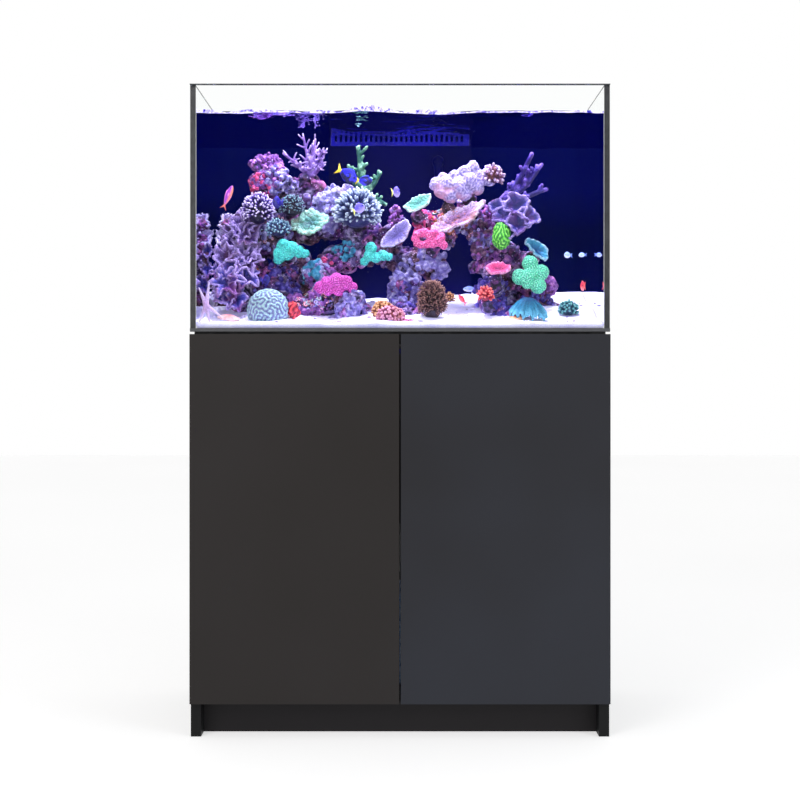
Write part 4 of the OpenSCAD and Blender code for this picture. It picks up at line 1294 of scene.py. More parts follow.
# ---------- the reef, left to right; places in millimetres ----------
ROCKS = {
    "rock_left": [
        (-330, -10, 918, 60), (-250, 0, 928, 66), (-372, 10, 936, 46), (-300, 10, 988, 62),
        (-345, 15, 1028, 46), (-300, 15, 1088, 48), (-262, 10, 1128, 38), (-250, 15, 1048, 52),
        (-214, 25, 1118, 42), (-222, 25, 1180, 36), (-240, 20, 1212, 26), (-300, 10, 1168, 40),
        (-296, 0, 1206, 34), (-318, 0, 1266, 24), (-296, 2, 1270, 20), (-278, -16, 1220, 24),
        (-302, 0, 1238, 34), (-320, -4, 1218, 30), (-276, -6, 1240, 22), (-256, 0, 1216, 26),
        (-215, 14, 1226, 26), (-190, 14, 1212, 24), (-394, 30, 930, 44), (-400, 44, 990, 34),
        (-402, 52, 1044, 30), (-404, 60, 1092, 26), (-404, 70, 1132, 20), (-330, 0, 1120, 34),
        (-200, 0, 1000, 46), (-225, -70, 925, 36), (-180, -70, 945, 32)],
    "rock_middle": [
        (-180, 0, 938, 56), (-186, 10, 998, 50), (-150, -40, 908, 46), (-96, -60, 916, 42),
        (-150, 25, 1048, 46), (-92, 20, 1068, 44), (-100, 10, 1128, 42), (-64, 10, 1100, 40),
        (-30, 0, 1058, 34), (8, 0, 1048, 36), (-152, 10, 1150, 34), (-118, 10, 1178, 30),
        (-176, 10, 1178, 28), (-158, 6, 1196, 20), (-172, 20, 1120, 36), (-84, 20, 1190, 22),
        (-6, -20, 1135, 17), (-8, -16, 1160, 12), (-22, -10, 1100, 30), (-116, -96, 925, 30),
        (-98, -104, 950, 20)],
    "rock_right": [
        (14, -30, 918, 58), (30, -112, 908, 28), (4, -104, 914, 26), (16, -30, 980, 42),
        (34, -20, 1036, 38), (60, -20, 930, 44), (76, -20, 1030, 30), (66, -5, 1100, 34),
        (104, 0, 1092, 28), (60, 0, 1132, 26), (100, 0, 1140, 28), (140, 10, 1132, 28),
        (176, 10, 1112, 26), (160, 20, 1170, 26), (204, 10, 1110, 32), (196, 10, 1070, 30),
        (240, 5, 1064, 38), (214, 15, 1150, 28), (236, 15, 1172, 20), (232, 0, 928, 52),
        (296, 0, 928, 50), (252, 0, 1002, 44), (208, -40, 975, 30), (212, -70, 926, 30),
        (304, 5, 978, 40), (334, 0, 925, 34), (286, 0, 1040, 32), (330, 0, 985, 30),
        (262, -100, 905, 24), (186, 5, 1030, 24), (214, 0, 1010, 28)],
}


def make_rocks():
    return {name: reef_rock(name + "_skin", name, lumps, seed)
            for seed, (name, lumps) in enumerate(ROCKS.items(), 1)}


PERCHES = [
    (-249, -92, 1055), (-54, -94, 1044), (-142, -116, 980), (60, -84, 1085), (90, -84, 1080),
    (293, -86, 1004), (228, -82, 1090), (219, -98, 1006), (308, -46, 1056), (-204, -66, 1116),
    (-6, -70, 1088), (42, -50, 1162), (132, -60, 1122), (110, -44, 1204), (160, -44, 1214),
    (-322, -56, 1146), (-246, -66, 1156), (-275, -80, 1104), (-97, -64, 1140), (262, -60, 1130),
    (190, -128, 946), (-360, -46, 1090), (-366, -60, 1040), (-376, -84, 990), (-382, -96, 950),
    (306, 0, 1000), (-86, 6, 1200), (226, 6, 1176)]


def make_perches(rocks):
    """Rock that each coral grows on, from its back to the nearest point of the reef."""
    skin = np.concatenate([points_of(rock.data) for rock in rocks.values()])
    rng = random.Random(12)
    shape = Shape()
    for place in PERCHES:
        start = mm(*place) + Vector((0, 0.014, -0.004))
        away = np.linalg.norm(skin - np.array(start), axis=1)
        end = Vector(skin[np.argmin(away)])
        steps = max(2, int((end - start).length / 0.009))
        for i in range(steps + 1):
            t = i / steps
            spot = start.lerp(end, t) + rand_dir(rng) * 0.002
            add_ball(shape, spot, (0.009 + 0.006 * t) * rng.uniform(0.85, 1.2), ball=SMALL_BALL)
    mesh = blended(shape, 0.003, 2)
    step = np.array([noise.fractal(Vector(p) / 0.012, 1.0, 2.1, 4) * 0.004 for p in points_of(mesh)])
    set_points(mesh, points_of(mesh) + normals_of(mesh) * step[:, None])
    # Low places of the skin get painted shade from the rock look, high places a faint painted highlight.
    set_layer(mesh, "tip", np.clip(0.4 + step / 0.008, 0, 1))
    return place_mesh("rock_perches", mesh, LOOKS["rock"])


def build_brain_corals():
    dome = brain_coral("brain_mint", mm(-291, -150, 921), (0.046, 0.040, 0.047), coral("brain_mint"), 11,
                       0.0026, 6, 7, turn=0.2)
    brain_coral("brain_lime", mm(228, -82, 1092), (0.020, 0.016, 0.030), coral("brain_lime"), 18, 0.0022,
                5, 5, 0.003, 0.02)
    brain_coral("brain_red", mm(-237, -150, 921), (0.013, 0.012, 0.020), coral("brain_red"), 13, 0.003,
                4, 6, 0.006, 0.012)
    magenta = lobed_coral("lobed_magenta",
                          [(-177, -116, 974, 14), (-162, -118, 982, 16), (-142, -120, 988, 18),
                           (-122, -118, 984, 17), (-138, -122, 969, 14), (-160, -118, 966, 11),
                           (-107, -114, 974, 12)], coral("lobed_magenta"), 12, wide=6, depth=0.0020,
                          wrinkle=0.0022)
    velvet = coral("lobed_turquoise")
    lobed_coral("lobed_turquoise", [
        (-268, -92, 1050, 17), (-261, -92, 1068, 17), (-244, -94, 1062, 17), (-228, -94, 1056, 14),
        (-214, -92, 1052, 10), (-274, -90, 1038, 11), (-252, -94, 1050, 14)], velvet, 14, wide=4,
                depth=0.0008, wrinkle=0.0018)
    lobed_coral("lobed_tee", [
        (-65, -96, 1064, 13), (-70, -96, 1046, 13), (-54, -96, 1042, 12), (-38, -96, 1047, 12),
        (-25, -94, 1044, 9), (-80, -94, 1034, 10)], velvet, 15, wide=4, depth=0.0008, wrinkle=0.0018)
    ring = [(52 + 17 * math.cos(a), -84, 1086 + 14 * math.sin(a), 9.5)
            for a in [i * math.pi / 5 for i in range(10)]]
    pink = lobed_coral("lobed_pink",
                       ring + [(76, -86, 1098, 11), (84, -86, 1080, 12), (98, -84, 1072, 10),
                               (92, -84, 1088, 11), (72, -86, 1072, 8), (38, -84, 1076, 9)],
                       coral("lobed_pink"), 17, wide=5, depth=0.0014, wrinkle=0.0020)
    mint = lobed_coral("lobed_green", [(293, -84, 1030, 18), (270, -86, 1000, 18), (318, -84, 1010, 18),
                                       (311, -88, 980, 18), (292, -92, 1004, 16), (286, -90, 984, 12)],
                       coral("lobed_green"), 30, wide=6, depth=0.0026, wrinkle=0.0012)
    fur = finger_ball("furry_brown", mm(70, -178, 938), (0.029, 0.024, 0.048), coral("furry_brown"),
                      1200, 0.013, 0.0009, 19, lean=0.9)
    for piece in (dome, magenta, pink, mint, fur):
        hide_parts("brain_corals")


def build_bushy():
    ball = finger_ball("bushy_fingers", mm(-97, -64, 1149), (0.046, 0.040, 0.045), coral("bushy"), 420,
                       0.020, 0.0028, 21)
    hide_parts("bushy_coral")
    finger_ball("violet_tuft", mm(-322, -56, 1152), (0.031, 0.028, 0.037), coral("tuft"), 260, 0.015,
                0.0024, 22)
    finger_ball("murky_tuft", mm(-246, -66, 1160), (0.028, 0.022, 0.026), coral("murky_tuft"), 300,
                0.008, 0.0018, 23)
    finger_ball("teal_tuft", mm(-275, -80, 1108), (0.026, 0.016, 0.020), coral("teal_tuft"), 120, 0.009,
                0.0022, 24)


def build_branches():
    tips = [(-272, -6, 1284), (-262, 8, 1306), (-243, 0, 1334), (-222, -14, 1312), (-194, -4, 1328),
            (-172, 4, 1306), (-152, -6, 1290), (-160, -20, 1262), (-236, -20, 1270)]
    stag = branch_coral("staghorn", mm(-207, 6, 1240), [mm(*t) for t in tips], 0.0055, 0.0019,
                        coral("staghorn"), 41, 8, 0.26, 2, 0.0013, bump=0.0005, bump_size=0.003)
    tips = [(-124, -4, 1264), (-92, -8, 1308), (-80, 0, 1270), (-38, -6, 1244), (-60, -16, 1228),
            (-28, -10, 1180)]
    tree = branch_coral("green_tree", mm(-86, 6, 1194), [mm(*t) for t in tips], 0.0088, 0.0040,
                        coral("tree"), 42, 8, 0.2, 2, 0.0017, bump=0.0016, bump_size=0.006)
    tips = [(316, -6, 1286), (330, -2, 1272), (350, -10, 1228), (338, -14, 1212), (262, 0, 1214)]
    finger = branch_coral("purple_fingers", mm(224, 6, 1172), [mm(*t) for t in tips], 0.0082, 0.0046,
                          coral("finger"), 43, 7, 0.16, 2, 0.0017, bump=0.0014, bump_size=0.006)
    for piece in (stag, tree, finger):
        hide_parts("branching_corals")


def build_plates():
    pieces = [plate_coral("plate_dotted", mm(-204, -66, 1120), 0.041, coral("dotted"), 51, (0.95, -0.25),
                          4, 0.08, 0.12, bumps=0.0065, bump_size=0.010, stretch=(1.02, 0.86))]
    great = lobed_coral("great_plate", [
        (84, -42, 1214, 17), (96, -44, 1200, 18), (116, -46, 1190, 19), (108, -46, 1216, 20),
        (134, -48, 1208, 24), (126, -44, 1232, 16), (148, -44, 1240, 18), (166, -42, 1252, 16),
        (158, -46, 1222, 22), (182, -42, 1228, 20), (176, -42, 1206, 17), (148, -46, 1192, 17),
        (200, -38, 1240, 14), (212, -36, 1248, 10), (206, -38, 1222, 12), (224, -36, 1252, 7),
        (98, -42, 1230, 12), (218, -36, 1234, 8)], coral("great_plate"), 52, 0.0019, 14, 0.0009, 0.0024)
    pieces.append(great)
    side = coral("side_plate")
    finger_ball("great_plate_side", mm(210, -40, 1232), (0.022, 0.016, 0.020), side, 70, 0.014, 0.0034,
                53)
    plate_coral("ledge_plate", mm(132, -60, 1128), 0.060, side, 57, (0.75, -0.5), 4, 0.10, 0.10, 0.04, 7,
                0.006, 0.10, bumps=0.005, bump_size=0.009, stretch=(1.1, 0.5))
    violet = coral("lavender_plate")
    pieces.append(plate_coral("plate_lavender", mm(-6, -70, 1094), 0.036, violet, 54, (1.2, -0.75), 3,
                              0.08, 0.2, 0.05, 5, thick=0.004, ribs=26, rib_depth=0.0008,
                              stretch=(1.15, 0.62)))
    pieces.append(plate_coral("plate_mint", mm(42, -50, 1168), 0.030, coral("mint_plate"), 55,
                              (1.15, -0.42), 2, 0.05, 0.12, thick=0.005, bumps=0.002, bump_size=0.005,
                              stretch=(1.08, 0.62)))
    pieces.append(plate_coral("plate_mint_low", mm(-114, -6, 1196), 0.030, violet, 56, (0.9, 0.3), 4,
                              0.12, 0.2, thick=0.005, bumps=0.003, bump_size=0.007, stretch=(1.1, 0.7)))
    for piece in pieces:
        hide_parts("plate_corals")
    plate_coral("plate_crescent", mm(219, -98, 1012), 0.028, coral("crescent"), 57, (0.85, 0.05), 2,
                0.05, 0.22, 0.05, 4, thick=0.006, bumps=0.002, bump_size=0.006, stretch=(1, 0.7))
    plate_coral("plate_teal_ridge", mm(308, -46, 1060), 0.034, coral("ridge"), 58, (0.9, 0.75), 3, 0.1,
                0.35, 0.10, 9, thick=0.005, ribs=22, rib_depth=0.0012, stretch=(1, 0.6))
    plate_coral("plate_teal_fan", mm(282, -158, 946), 0.040, coral("fan"), 59, (0.22, 0.05), 3, 0.08,
                -0.95, 0.14, 13, thick=0.004, ribs=26, rib_depth=0.0042, ragged=0.22, stretch=(1, 0.7))


def build_leaves():
    def leaf(name, place, radius, look, seed, **form):
        return plate_coral(name, mm(*place), radius, look, seed, slot="coral_violet", **form)

    ruffled = coral("ruffle")
    blue = coral("blue_ruffle")
    rng = random.Random(60)
    for i in range(13):
        fall = i / 12
        place = (-352 - 32 * fall + rng.uniform(-16, 16), -36 - 70 * fall + rng.uniform(-12, 12),
                 1122 - 176 * fall)
        leaf(f"leaf_{i}", place, rng.uniform(0.026, 0.036), ruffled if fall < 0.55 else blue, 61 + i,
             lobes=rng.choice((3, 4, 5)), lobe_depth=0.14,
             tilt=(rng.uniform(0.8, 1.35), rng.uniform(-0.8, 0.5)), cup=rng.uniform(0.3, 0.7),
             ragged=0.34, ruffle=rng.uniform(0.12, 0.2), ruffles=rng.choice((7, 9, 11)), thick=0.004,
             bumps=0.0022, bump_size=0.005, stretch=(rng.uniform(0.8, 1.0), rng.uniform(0.95, 1.3)))
    cups = coral("cup")
    # Name, place, radius and look, then tilt, lobes and their depth, cup, ruffle, number of ruffles,
    # thickness, stretch and bumps.
    ruffles = [
        ("tall", (-362, -46, 1050), 0.040, ruffled,
         ((1.15, -0.35), 5, 0.30, 0.5, 0.13, 8, 0.005, (0.85, 1.35), 0.002)),
        ("mid", (-352, -74, 1030), 0.034, ruffled,
         ((1.0, 0.35), 6, 0.28, 0.6, 0.15, 9, 0.005, (1, 1.2), 0.002)),
        ("back", (-372, -20, 1100), 0.030, ruffled,
         ((1.2, -0.6), 5, 0.25, 0.4, 0.12, 7, 0.005, (0.8, 1.3), 0.0)),
        ("blue_low", (-384, -104, 980), 0.034, blue,
         ((1.0, -0.3), 6, 0.26, 0.5, 0.16, 10, 0.0045, (1, 1.05), 0.0)),
        ("blue_mid", (-350, -92, 992), 0.032, blue,
         ((0.9, 0.4), 5, 0.24, 0.5, 0.14, 8, 0.0045, (1, 1), 0.0)),
        ("blue_front", (-366, -112, 944), 0.026, blue,
         ((1.1, 0.1), 5, 0.2, 0.4, 0.14, 7, 0.0045, (0.9, 1.2), 0.0))]
    made = {}
    for seed, (name, place, radius, look, form) in enumerate(ruffles, 61):
        tilt, lobes, depth, cup, ruffle, count, thick, stretch, bumps = form
        made[name] = leaf("leaf_" + name, place, radius, look, seed, tilt=tilt, lobes=lobes,
                          lobe_depth=depth, cup=cup, ruffle=ruffle, ruffles=count, thick=thick,
                          stretch=stretch, bumps=bumps)
    cup_pieces = [leaf(f"leaf_cup_{i}", (x, y, z), r / 1000, cups, 70 + i, tilt=(t, s), lobes=4,
                       lobe_depth=0.12, cup=0.55, ruffle=0.12, ruffles=7, thick=0.0050, ribs=18,
                       rib_depth=0.0007)
                  for i, (x, y, z, r, t, s) in enumerate([
                      (264, -54, 1160, 30, 1.2, 0.1), (236, -62, 1134, 24, 0.9, -0.5),
                      (286, -66, 1132, 27, 0.9, 0.6), (266, -72, 1116, 27, 1.2, 0.1),
                      (222, -46, 1160, 19, 0.9, -0.6), (248, -70, 1098, 20, 1.1, -0.3)])]
    frosted = coral("frosted_ruffle")
    for i, z in enumerate((985, 1020, 1066, 1096, 1140)):
        leaf(f"leaf_wall_{i}", (-420 + 8 * math.sin(5 * i), 14 + 15 * i, z), 0.023 - 0.0030 * (i % 3),
             frosted if i > 2 else blue, 90 + i, tilt=(1.1 - 0.25 * (i % 2), 0.6 - 0.3 * (i % 4)),
             lobes=4, lobe_depth=0.15, cup=0.5, ragged=0.4, ruffle=0.17, ruffles=7, thick=0.004,
             stretch=(0.75, 1.2))
    for piece in [made["tall"]] + cup_pieces:
        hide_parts("leaf_corals")


# Foot, middle and tip colour of each kind of knob, and its glow.
KNOB_LOOKS = {
    "violet": ((62, 26, 96), (132, 72, 152), (220, 154, 204), 0.2),
    "pale": ((62, 50, 122), (132, 122, 184), (236, 232, 252), 0.18),
    "blue": ((28, 18, 84), (68, 52, 146), (160, 144, 222), 0.22),
    "pink": ((150, 30, 90), (222, 60, 120), (250, 150, 180), 0.3),
    "red": ((140, 16, 40), (232, 50, 70), (255, 140, 120), 0.34),
    "teal": ((20, 80, 110), (60, 160, 186), (140, 220, 226), 0.3),
    "orange": ((92, 44, 36), (186, 106, 62), (240, 186, 120), 0.2),
    "white": ((104, 96, 166), (176, 172, 216), (244, 242, 255), 0.22),
    "brown": ((40, 22, 50), (104, 66, 92), (186, 140, 156), 0.12),
}

# Patches of knobs: name, rock, middle, reach, number, size of a knob and its look.
KNOBS = [
    ("violet_top", "left", (-312, -36, 1268), 54, 280, 4.2, "violet"),
    ("white_top", "left", (-270, -30, 1226), 36, 60, 6.0, "pale"),
    ("violet_side", "left", (-330, -30, 1205), 36, 60, 5.0, "pink"),
    ("white_ledge", "middle", (-170, -24, 1192), 34, 60, 6.5, "white"),
    ("white_low", "left", (-205, -70, 1040), 40, 40, 7.0, "white"),
    ("brown_left", "left", (-240, -60, 1030), 36, 60, 4.0, "brown"),
    ("brown_arch", "right", (150, -30, 1080), 50, 50, 6.0, "brown"),
    ("brown_mid", "middle", (-60, -30, 1000), 50, 60, 5.0, "brown"),
    ("pale_mid", "left", (-300, -50, 1100), 50, 70, 6, "pale"),
    ("blue_left", "left", (-262, -60, 990), 60, 80, 6, "blue"),
    ("teal_left", "left", (-200, -50, 1008), 34, 26, 8, "teal"),
    ("violet_low", "left", (-200, -110, 930), 50, 70, 6, "violet"),
    ("orange_left", "left", (-330, -50, 1060), 34, 24, 5, "orange"),
    ("pale_ledge", "middle", (-180, -10, 1150), 46, 70, 7, "pale"),
    ("white_rubble", "middle", (-130, -10, 1196), 40, 60, 6, "pale"),
    ("pale_front", "middle", (-112, -130, 930), 44, 80, 6.5, "pale"),
    ("violet_mid", "middle", (-170, -40, 1030), 50, 60, 6, "violet"),
    ("pink_mid", "middle", (-178, -40, 1060), 26, 24, 5, "pink"),
    ("teal_mid", "middle", (-150, -30, 1070), 28, 24, 6, "teal"),
    ("cone", "middle", (-6, -40, 1150), 26, 40, 4, "violet"),
    ("blue_pillar", "right", (10, -80, 1010), 60, 120, 6.5, "pale"),
    ("violet_pillar", "right", (20, -80, 950), 50, 80, 6, "blue"),
    ("buttons", "right", (76, -40, 1036), 40, 50, 9, "pale"),
    ("pink_ledge", "right", (62, -30, 1140), 40, 60, 5, "pink"),
    ("orange_arch", "right", (120, -20, 1150), 44, 50, 5, "orange"),
    ("pale_arch", "right", (170, -20, 1110), 60, 90, 6, "pale"),
    ("violet_arch", "right", (200, -20, 1150), 44, 50, 6, "violet"),
    ("blue_right", "right", (212, -80, 960), 54, 110, 6, "blue"),
    ("blue_low", "right", (236, -110, 920), 48, 70, 6, "blue"),
    ("violet_right", "right", (338, -40, 1005), 44, 90, 5.5, "violet"),
    ("blue_far", "right", (330, -50, 940), 50, 80, 6, "blue"),
    ("dark_arch", "right", (210, -20, 1066), 50, 60, 6, "violet"),
]


def build_small_growth(rocks):
    knob = {word: coral_look(f"knob_{word}_look", [(0.0, foot), (0.5, middle), (1.0, tip)], glow, 500,
                             0.0006)
            for word, (foot, middle, tip, glow) in KNOB_LOOKS.items()}
    for seed, (name, rock, place, reach, count, size, look) in enumerate(KNOBS, 80):
        crust_nodules("knobs_" + name, rocks["rock_" + rock], mm(*place), reach / 1000, count,
                      size / 1000, knob[look], seed)
    finger_ball("spiky_red", mm(191, -130, 956), (0.014, 0.012, 0.016), knob["red"], 70, 0.009, 0.0026,
                131)
    finger_ball("mound_green", mm(378, -100, 926), (0.022, 0.018, 0.018), coral("mound"), 90, 0.007,
                0.0028, 132)
    finger_ball("orange_tuft", mm(112, -108, 950), (0.007, 0.007, 0.010), knob["orange"], 40, 0.007,
                0.0019, 133)
    finger_ball("lumpy_salmon", mm(-20, -194, 905), (0.033, 0.020, 0.024), coral("salmon"), 150, 0.006,
                0.0038, 134)
    finger_ball("blob_brown", mm(-38, -136, 920), (0.024, 0.018, 0.022), knob["orange"], 150, 0.007,
                0.0028, 135)
    finger_ball("lumps_pink_low", mm(20, -196, 890), (0.018, 0.012, 0.009), knob["pink"], 80, 0.004,
                0.0028, 136)
    zoa = [((226, 40, 150), "magenta"), ((60, 210, 170), "green"), ((250, 120, 90), "coral"),
           ((90, 120, 230), "blue")]
    for i, (color, word) in enumerate(zoa):
        dark = tuple(int(c * 0.35) for c in color)
        look = coral_look(f"polyp_{word}_look", [(0.05, dark), (0.4, color), (0.7, (246, 220, 240)),
                                                 (0.9, dark)], 0.34, 900, 0.0002)
        polyp_patch(f"polyps_{word}_low", rocks["rock_left"], mm(-205 + 8 * i, -120, 922 + 5 * i), 0.040,
                    26, 0.0048, look, 140 + i)
        polyp_patch(f"polyps_{word}_arch", rocks["rock_right"], mm(80 + 30 * i, -40, 1130 - 8 * i),
                    0.045, 18, 0.0040, look, 150 + i)
        polyp_patch(f"polyps_{word}_left", rocks["rock_left"], mm(-330 + 24 * i, -60, 1140 - 26 * i),
                    0.050, 18, 0.0038, look, 160 + i)


def fish_look(name, body, fin, tail, belly=None, band=None):
    """hue runs along the fish; fins are 0.62, the tail 1.0 and the eyes 0.9."""
    look = Look(name, rough=0.28)
    along = look.attribute("hue")
    side = look.ramp(look.attribute("tip"), [(0.12, srgb(*(belly or body))), (0.55, srgb(*body))])
    if band:
        stripe = look.ramp(look.noise(38, 3), [(0.44, (0, 0, 0)), (0.52, (1, 1, 1))])
        side = look.mix(stripe, side, srgb(*band))
    parts = look.ramp(along, [(0.60, (0, 0, 0)), (0.615, (1, 1, 1)), (0.64, (0, 0, 0)),
                              (0.85, (0, 0, 0))], "CONSTANT")
    color = look.mix(parts, side, srgb(*fin))
    last = look.ramp(along, [(0.0, (0, 0, 0)), (0.66, (1, 1, 1))], "CONSTANT")
    color = look.mix(last, color, srgb(*tail))
    eyes = look.ramp(along, [(0.0, (0, 0, 0)), (0.86, (1, 1, 1)), (0.94, (0, 0, 0))], "CONSTANT")
    color = look.mix(eyes, color, srgb(8, 8, 12))
    look.color(color)
    # The glow is painted light, which keeps the fish bright in any light.
    look.glow(color, 0.22)
    look.bump(look.cells(900), 0.25, 0.0002)
    return look.mat


def make_animals():
    tang = fish_look("tang_look", (28, 26, 178), (40, 44, 206), (248, 214, 60), (70, 60, 210),
                     (8, 7, 70))
    small = fish_look("yellow_tail_look", (96, 82, 224), (126, 110, 236), (240, 240, 120),
                      (176, 160, 240))
    slim = fish_look("anthias_look", (176, 70, 200), (226, 130, 190), (240, 120, 110), (250, 146, 110))
    red = fish_look("red_fish_look", (232, 46, 74), (250, 110, 110), (246, 80, 90), (250, 130, 130))
    pale = fish_look("pale_fish_look", (168, 188, 250), (130, 160, 246), (120, 150, 250),
                     (236, 240, 255))
    dark = fish_look("dark_fish_look", (30, 22, 110), (50, 40, 150), (40, 30, 130))
    fish("fish_tang", mm(-115, -128, 1222), 0.060, 0.028, tang, turn=2.75, tilt=-0.55)
    fish("fish_tang_small", mm(-77, -130, 1210), 0.041, 0.021, tang, turn=2.9, tilt=-0.1)
    fish("fish_in_coral", mm(-90, -136, 1148), 0.031, 0.021, small, turn=3.0, tilt=0.45)
    fish("fish_little", mm(-8, -90, 1190), 0.022, 0.022, small, turn=3.5, tilt=0.1)
    fish("fish_slim", mm(-386, -90, 1183), 0.060, 0.014, slim, turn=2.9, tilt=1.15, fork=1.0)
    fish("fish_red", mm(410, -100, 978), 0.034, 0.020, red, turn=1.15, tilt=-0.1)
    fish("fish_pale", mm(384, -30, 1054), 0.024, 0.013, pale, turn=0.5)
    fish("fish_pale_far", mm(418, -24, 1055), 0.020, 0.010, pale, turn=-0.4)
    fish("fish_red_low", mm(140, -60, 952), 0.030, 0.010, red, turn=0.4, tilt=0.8, fork=0.9)
    fish("fish_goby", mm(160, -30, 976), 0.040, 0.012, pale, turn=0.2, fork=0.3)
    fish("fish_dark_left", mm(-276, -96, 1166), 0.030, 0.024, dark, turn=0.6)
    fish("fish_dark_low", mm(-297, -128, 990), 0.030, 0.020, dark, turn=2.4, tilt=0.2)
    y = -226
    starfish("starfish", mm(-418, y, 928), [mm(-411, y, 978), mm(-433, y, 966), mm(-409, y, 886),
                                            mm(-432, y, 893),
                                           mm(-384, y, 903)], 0.0052, coral("starfish"))
    plate_coral("shell_left", mm(-371, -196, 906), 0.020, coral("shell"), 171, (0.35, 0.12), 1, 0.04,
                -0.35, thick=0.003, ribs=18, rib_depth=0.0009, stretch=(1.15, 0.6), slot="coral_pink")
    plate_coral("shell_right", mm(253, -166, 906), 0.017, coral("shell_orange"), 172, (0.3, -0.1), 1,
                0.04, -0.35, thick=0.003, ribs=16, rib_depth=0.0009, stretch=(1.1, 0.7),
                slot="coral_pink")


def scatter_rubble():
    """Small stones and shell bits on the sand."""
    rng = random.Random(9)
    shape = Shape()
    for _ in range(150):
        x, y = rng.uniform(-0.42, 0.42), rng.uniform(-0.22, 0.05)
        r = rng.choice((0.0016, 0.0024, 0.0034, 0.005)) * rng.uniform(0.7, 1.2)
        squash = (rng.uniform(0.7, 1.4), rng.uniform(0.7, 1.4), rng.uniform(0.5, 0.8))
        add_ball(shape, (x, y, sand_height(x, y) + r * 0.25), r, rng.random(), rng.random(), squash,
                 SMALL_BALL)
    shape.object("rubble", coral("rubble"), slot="rock")


# ---------- sump ----------
SUMP_LOW, SUMP_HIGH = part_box("sump_tank")
SUMP_LEVEL = SUMP_LOW[2] + 0.205


def make_sump_water():
    sheet = Shape()
    inset = 0.0085

    def surface(u, v):
        x = SUMP_LOW[0] + inset + u * (SUMP_HIGH[0] - SUMP_LOW[0] - 2 * inset)
        y = SUMP_LOW[1] + inset + v * (SUMP_HIGH[1] - SUMP_LOW[1] - 2 * inset)
        return Vector((x, y, SUMP_LEVEL + ripple(x * 2, y * 2) * 0.4))

    grid(sheet, 80, 50, surface)
    sheet.object("sump_water", WATER_SKIN, slot="sump_glass")


def foam_block_look():
    look = Look("filter_foam", rough=0.95)
    blue = look.ramp(look.cells(260), [(0.1, srgb(28, 66, 120)), (0.5, srgb(62, 112, 176)),
                                       (0.8, srgb(88, 140, 200))])
    look.color(blue)
    # A faint glow of painted light.
    look.glow(blue, 0.05)
    look.bump(look.cells(260), 0.9, 0.002)
    return look.mat


def make_media():
    """A bed of ceramic balls on the sump's floor and three sheets of foam in front of the baffle."""
    rng = random.Random(31)
    balls = Shape()
    size = 0.011
    left, right = SUMP_LOW[0] + 0.212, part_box("pump_body")[0][0] - 0.100
    front, back = SUMP_LOW[1] + 0.020, SUMP_HIGH[1] - 0.020
    floor_z = SUMP_LOW[2] + 0.006 + size
    for layer in range(3):
        shift = size * (layer % 2)
        for i in range(int((right - left) / (2 * size))):
            for j in range(int((back - front) / (2 * size))):
                jitter = Vector([rng.uniform(-0.0014, 0.0014) for _ in range(3)])
                place = Vector((left + shift + 2 * size * i, front + shift + 2 * size * j,
                                floor_z + 1.55 * size * layer))
                add_ball(balls, place + jitter, size * rng.uniform(0.86, 0.98), rng.random(),
                         rng.random(), ball=SMALL_BALL)
    # The 0.06 is a faint glow of painted light.
    media = tone_look("ceramic_media", 0.9, (30, 3), [(0.35, (196, 170, 140)), (0.65, (232, 214, 190))],
                      0.06, (700, 4, 0.7, 0.5, 0.0008))
    balls.object("sump_media", media, slot="coral_pale")
    look = foam_block_look()
    for i in range(3):
        sheet = Shape()
        x = right + 0.014 + 0.013 * i
        add_bar(sheet, (x, front, SUMP_LOW[2] + 0.0065),
                (x + 0.012, back, SUMP_LEVEL - 0.010 - 0.003 * i))
        foam = sheet.object(f"sump_foam_{i}", look, slot="felt", smooth=False)
        edge = foam.modifiers.new("edge", "BEVEL")
        edge.width = 0.003
        edge.segments = 3


def make_heater():
    """A glass heater that leans in the sump behind the media."""
    x, y = SUMP_LOW[0] + 0.262, SUMP_HIGH[1] - 0.030
    foot, top = Vector((x, y, SUMP_LOW[2] + 0.070)), Vector((x + 0.070, y, SUMP_LEVEL + 0.045))
    body, cap = Shape(), Shape()
    add_tube(body, [foot, foot.lerp(top, 0.5), foot.lerp(top, 0.86)], [0.010, 0.011, 0.011], 20)
    add_tube(cap, [foot.lerp(top, 0.86), foot.lerp(top, 0.93), top], [0.013, 0.013, 0.009], 20)
    body.object("heater_tube", plastic_look("heater_grey", srgb(120, 128, 132), 0.2),
                slot="white_plastic")
    cap.object("heater_cap", LOOKS["reservoir"], slot="pipe")


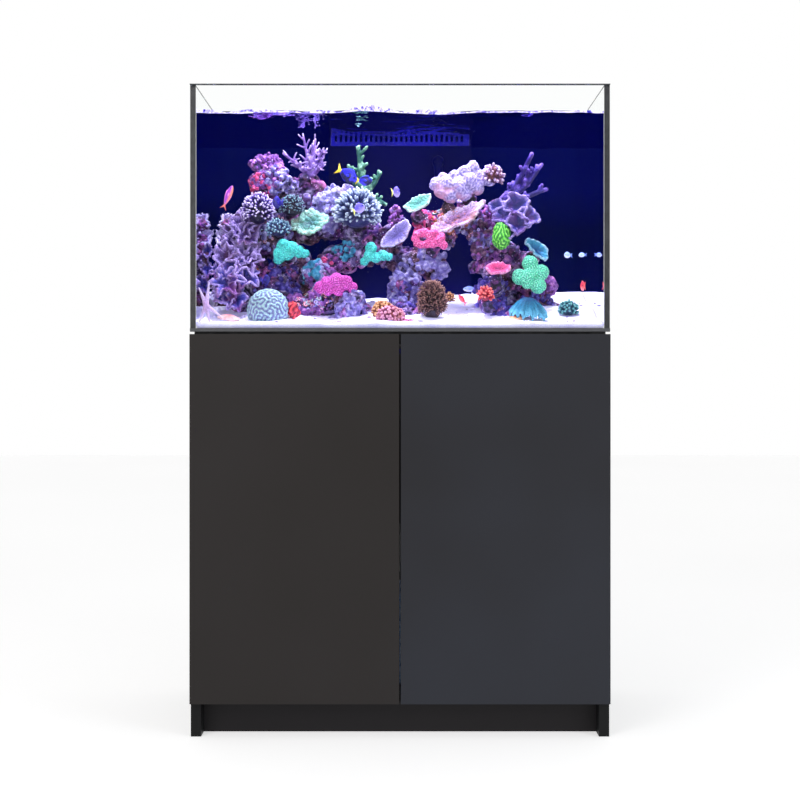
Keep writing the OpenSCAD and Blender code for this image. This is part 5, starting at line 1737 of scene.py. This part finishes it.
# ---------- stage ----------
def make_floor():
    look = Look("studio_floor", (0.9, 0.9, 0.9), 0.8)
    pale = look.ramp(look.noise(0.6, 2), [(0.3, (0.90, 0.90, 0.90)), (0.7, (0.915, 0.915, 0.915))])
    look.color(pale)
    look.glow(pale, 0.63)
    shape = Shape()
    grid(shape, 4, 4, lambda u, v: Vector(((2 * u - 1) * 12, (2 * v - 1) * 12, 0)))
    mesh = bpy.data.meshes.new("floor")
    mesh.from_pydata(np.concatenate(shape.verts).tolist(), [], shape.faces)
    mesh.materials.append(look.mat)
    obj = bpy.data.objects.new("floor", mesh)
    bpy.context.scene.collection.objects.link(obj)


def light_only(light, things):
    """Keeps a light on the things in the tank, as the water and glass keep a reef lamp's beam inside."""
    group = bpy.data.collections.new(light.name + "_things")
    for obj in things:
        group.objects.link(obj)
    light.light_linking.receiver_collection = group


def make_lights():
    area_light("key", (-1.9, -3.2, 2.3), (0, 0, 0.6), (1.6, 1.6), 34, (1.0, 0.97, 0.95))
    area_light("fill", (2.6, -2.4, 1.5), (0.2, 0, 0.5), (1.4, 1.8), 24, (0.90, 0.94, 1.0))
    top = area_light("reef_top", (0, -0.05, 1.62), (0, -0.02, 0.9), (0.8, 0.34), 14, (0.72, 0.72, 1.0),
                     110)
    front = area_light("reef_front", (0, -0.75, 1.75), (0, 0.0, 1.05), (0.9, 0.4), 3.2,
                       (0.84, 0.78, 1.0))
    blue = area_light("reef_blue", (0, -0.9, 1.3), (0, 0.0, 1.05), (1.0, 0.5), 2.6, (0.08, 0.22, 1.0))
    tank = [o for o in bpy.context.scene.objects if o.type == "MESH" and o.name in REEF_NAMES]
    for light in (top, front, blue):
        light.visible_camera = False
        light.visible_glossy = False
        light_only(light, tank)


# ---------- build ----------
bpy.context.scene.view_settings.view_transform = "Standard"
make_camera()
make_world()
make_floor()
dress_cad()
before_reef = {o.name for o in bpy.context.scene.objects}
make_sand()
ROCK_SKINS = make_rocks()
make_perches(ROCK_SKINS)
build_brain_corals()
build_bushy()
build_branches()
build_plates()
build_leaves()
build_small_growth(ROCK_SKINS)
make_animals()
scatter_rubble()
REEF_NAMES = {o.name for o in bpy.context.scene.objects} - before_reef
make_water()
make_rim()
pane_edges()
make_sump_water()
make_media()
make_heater()
make_lights()
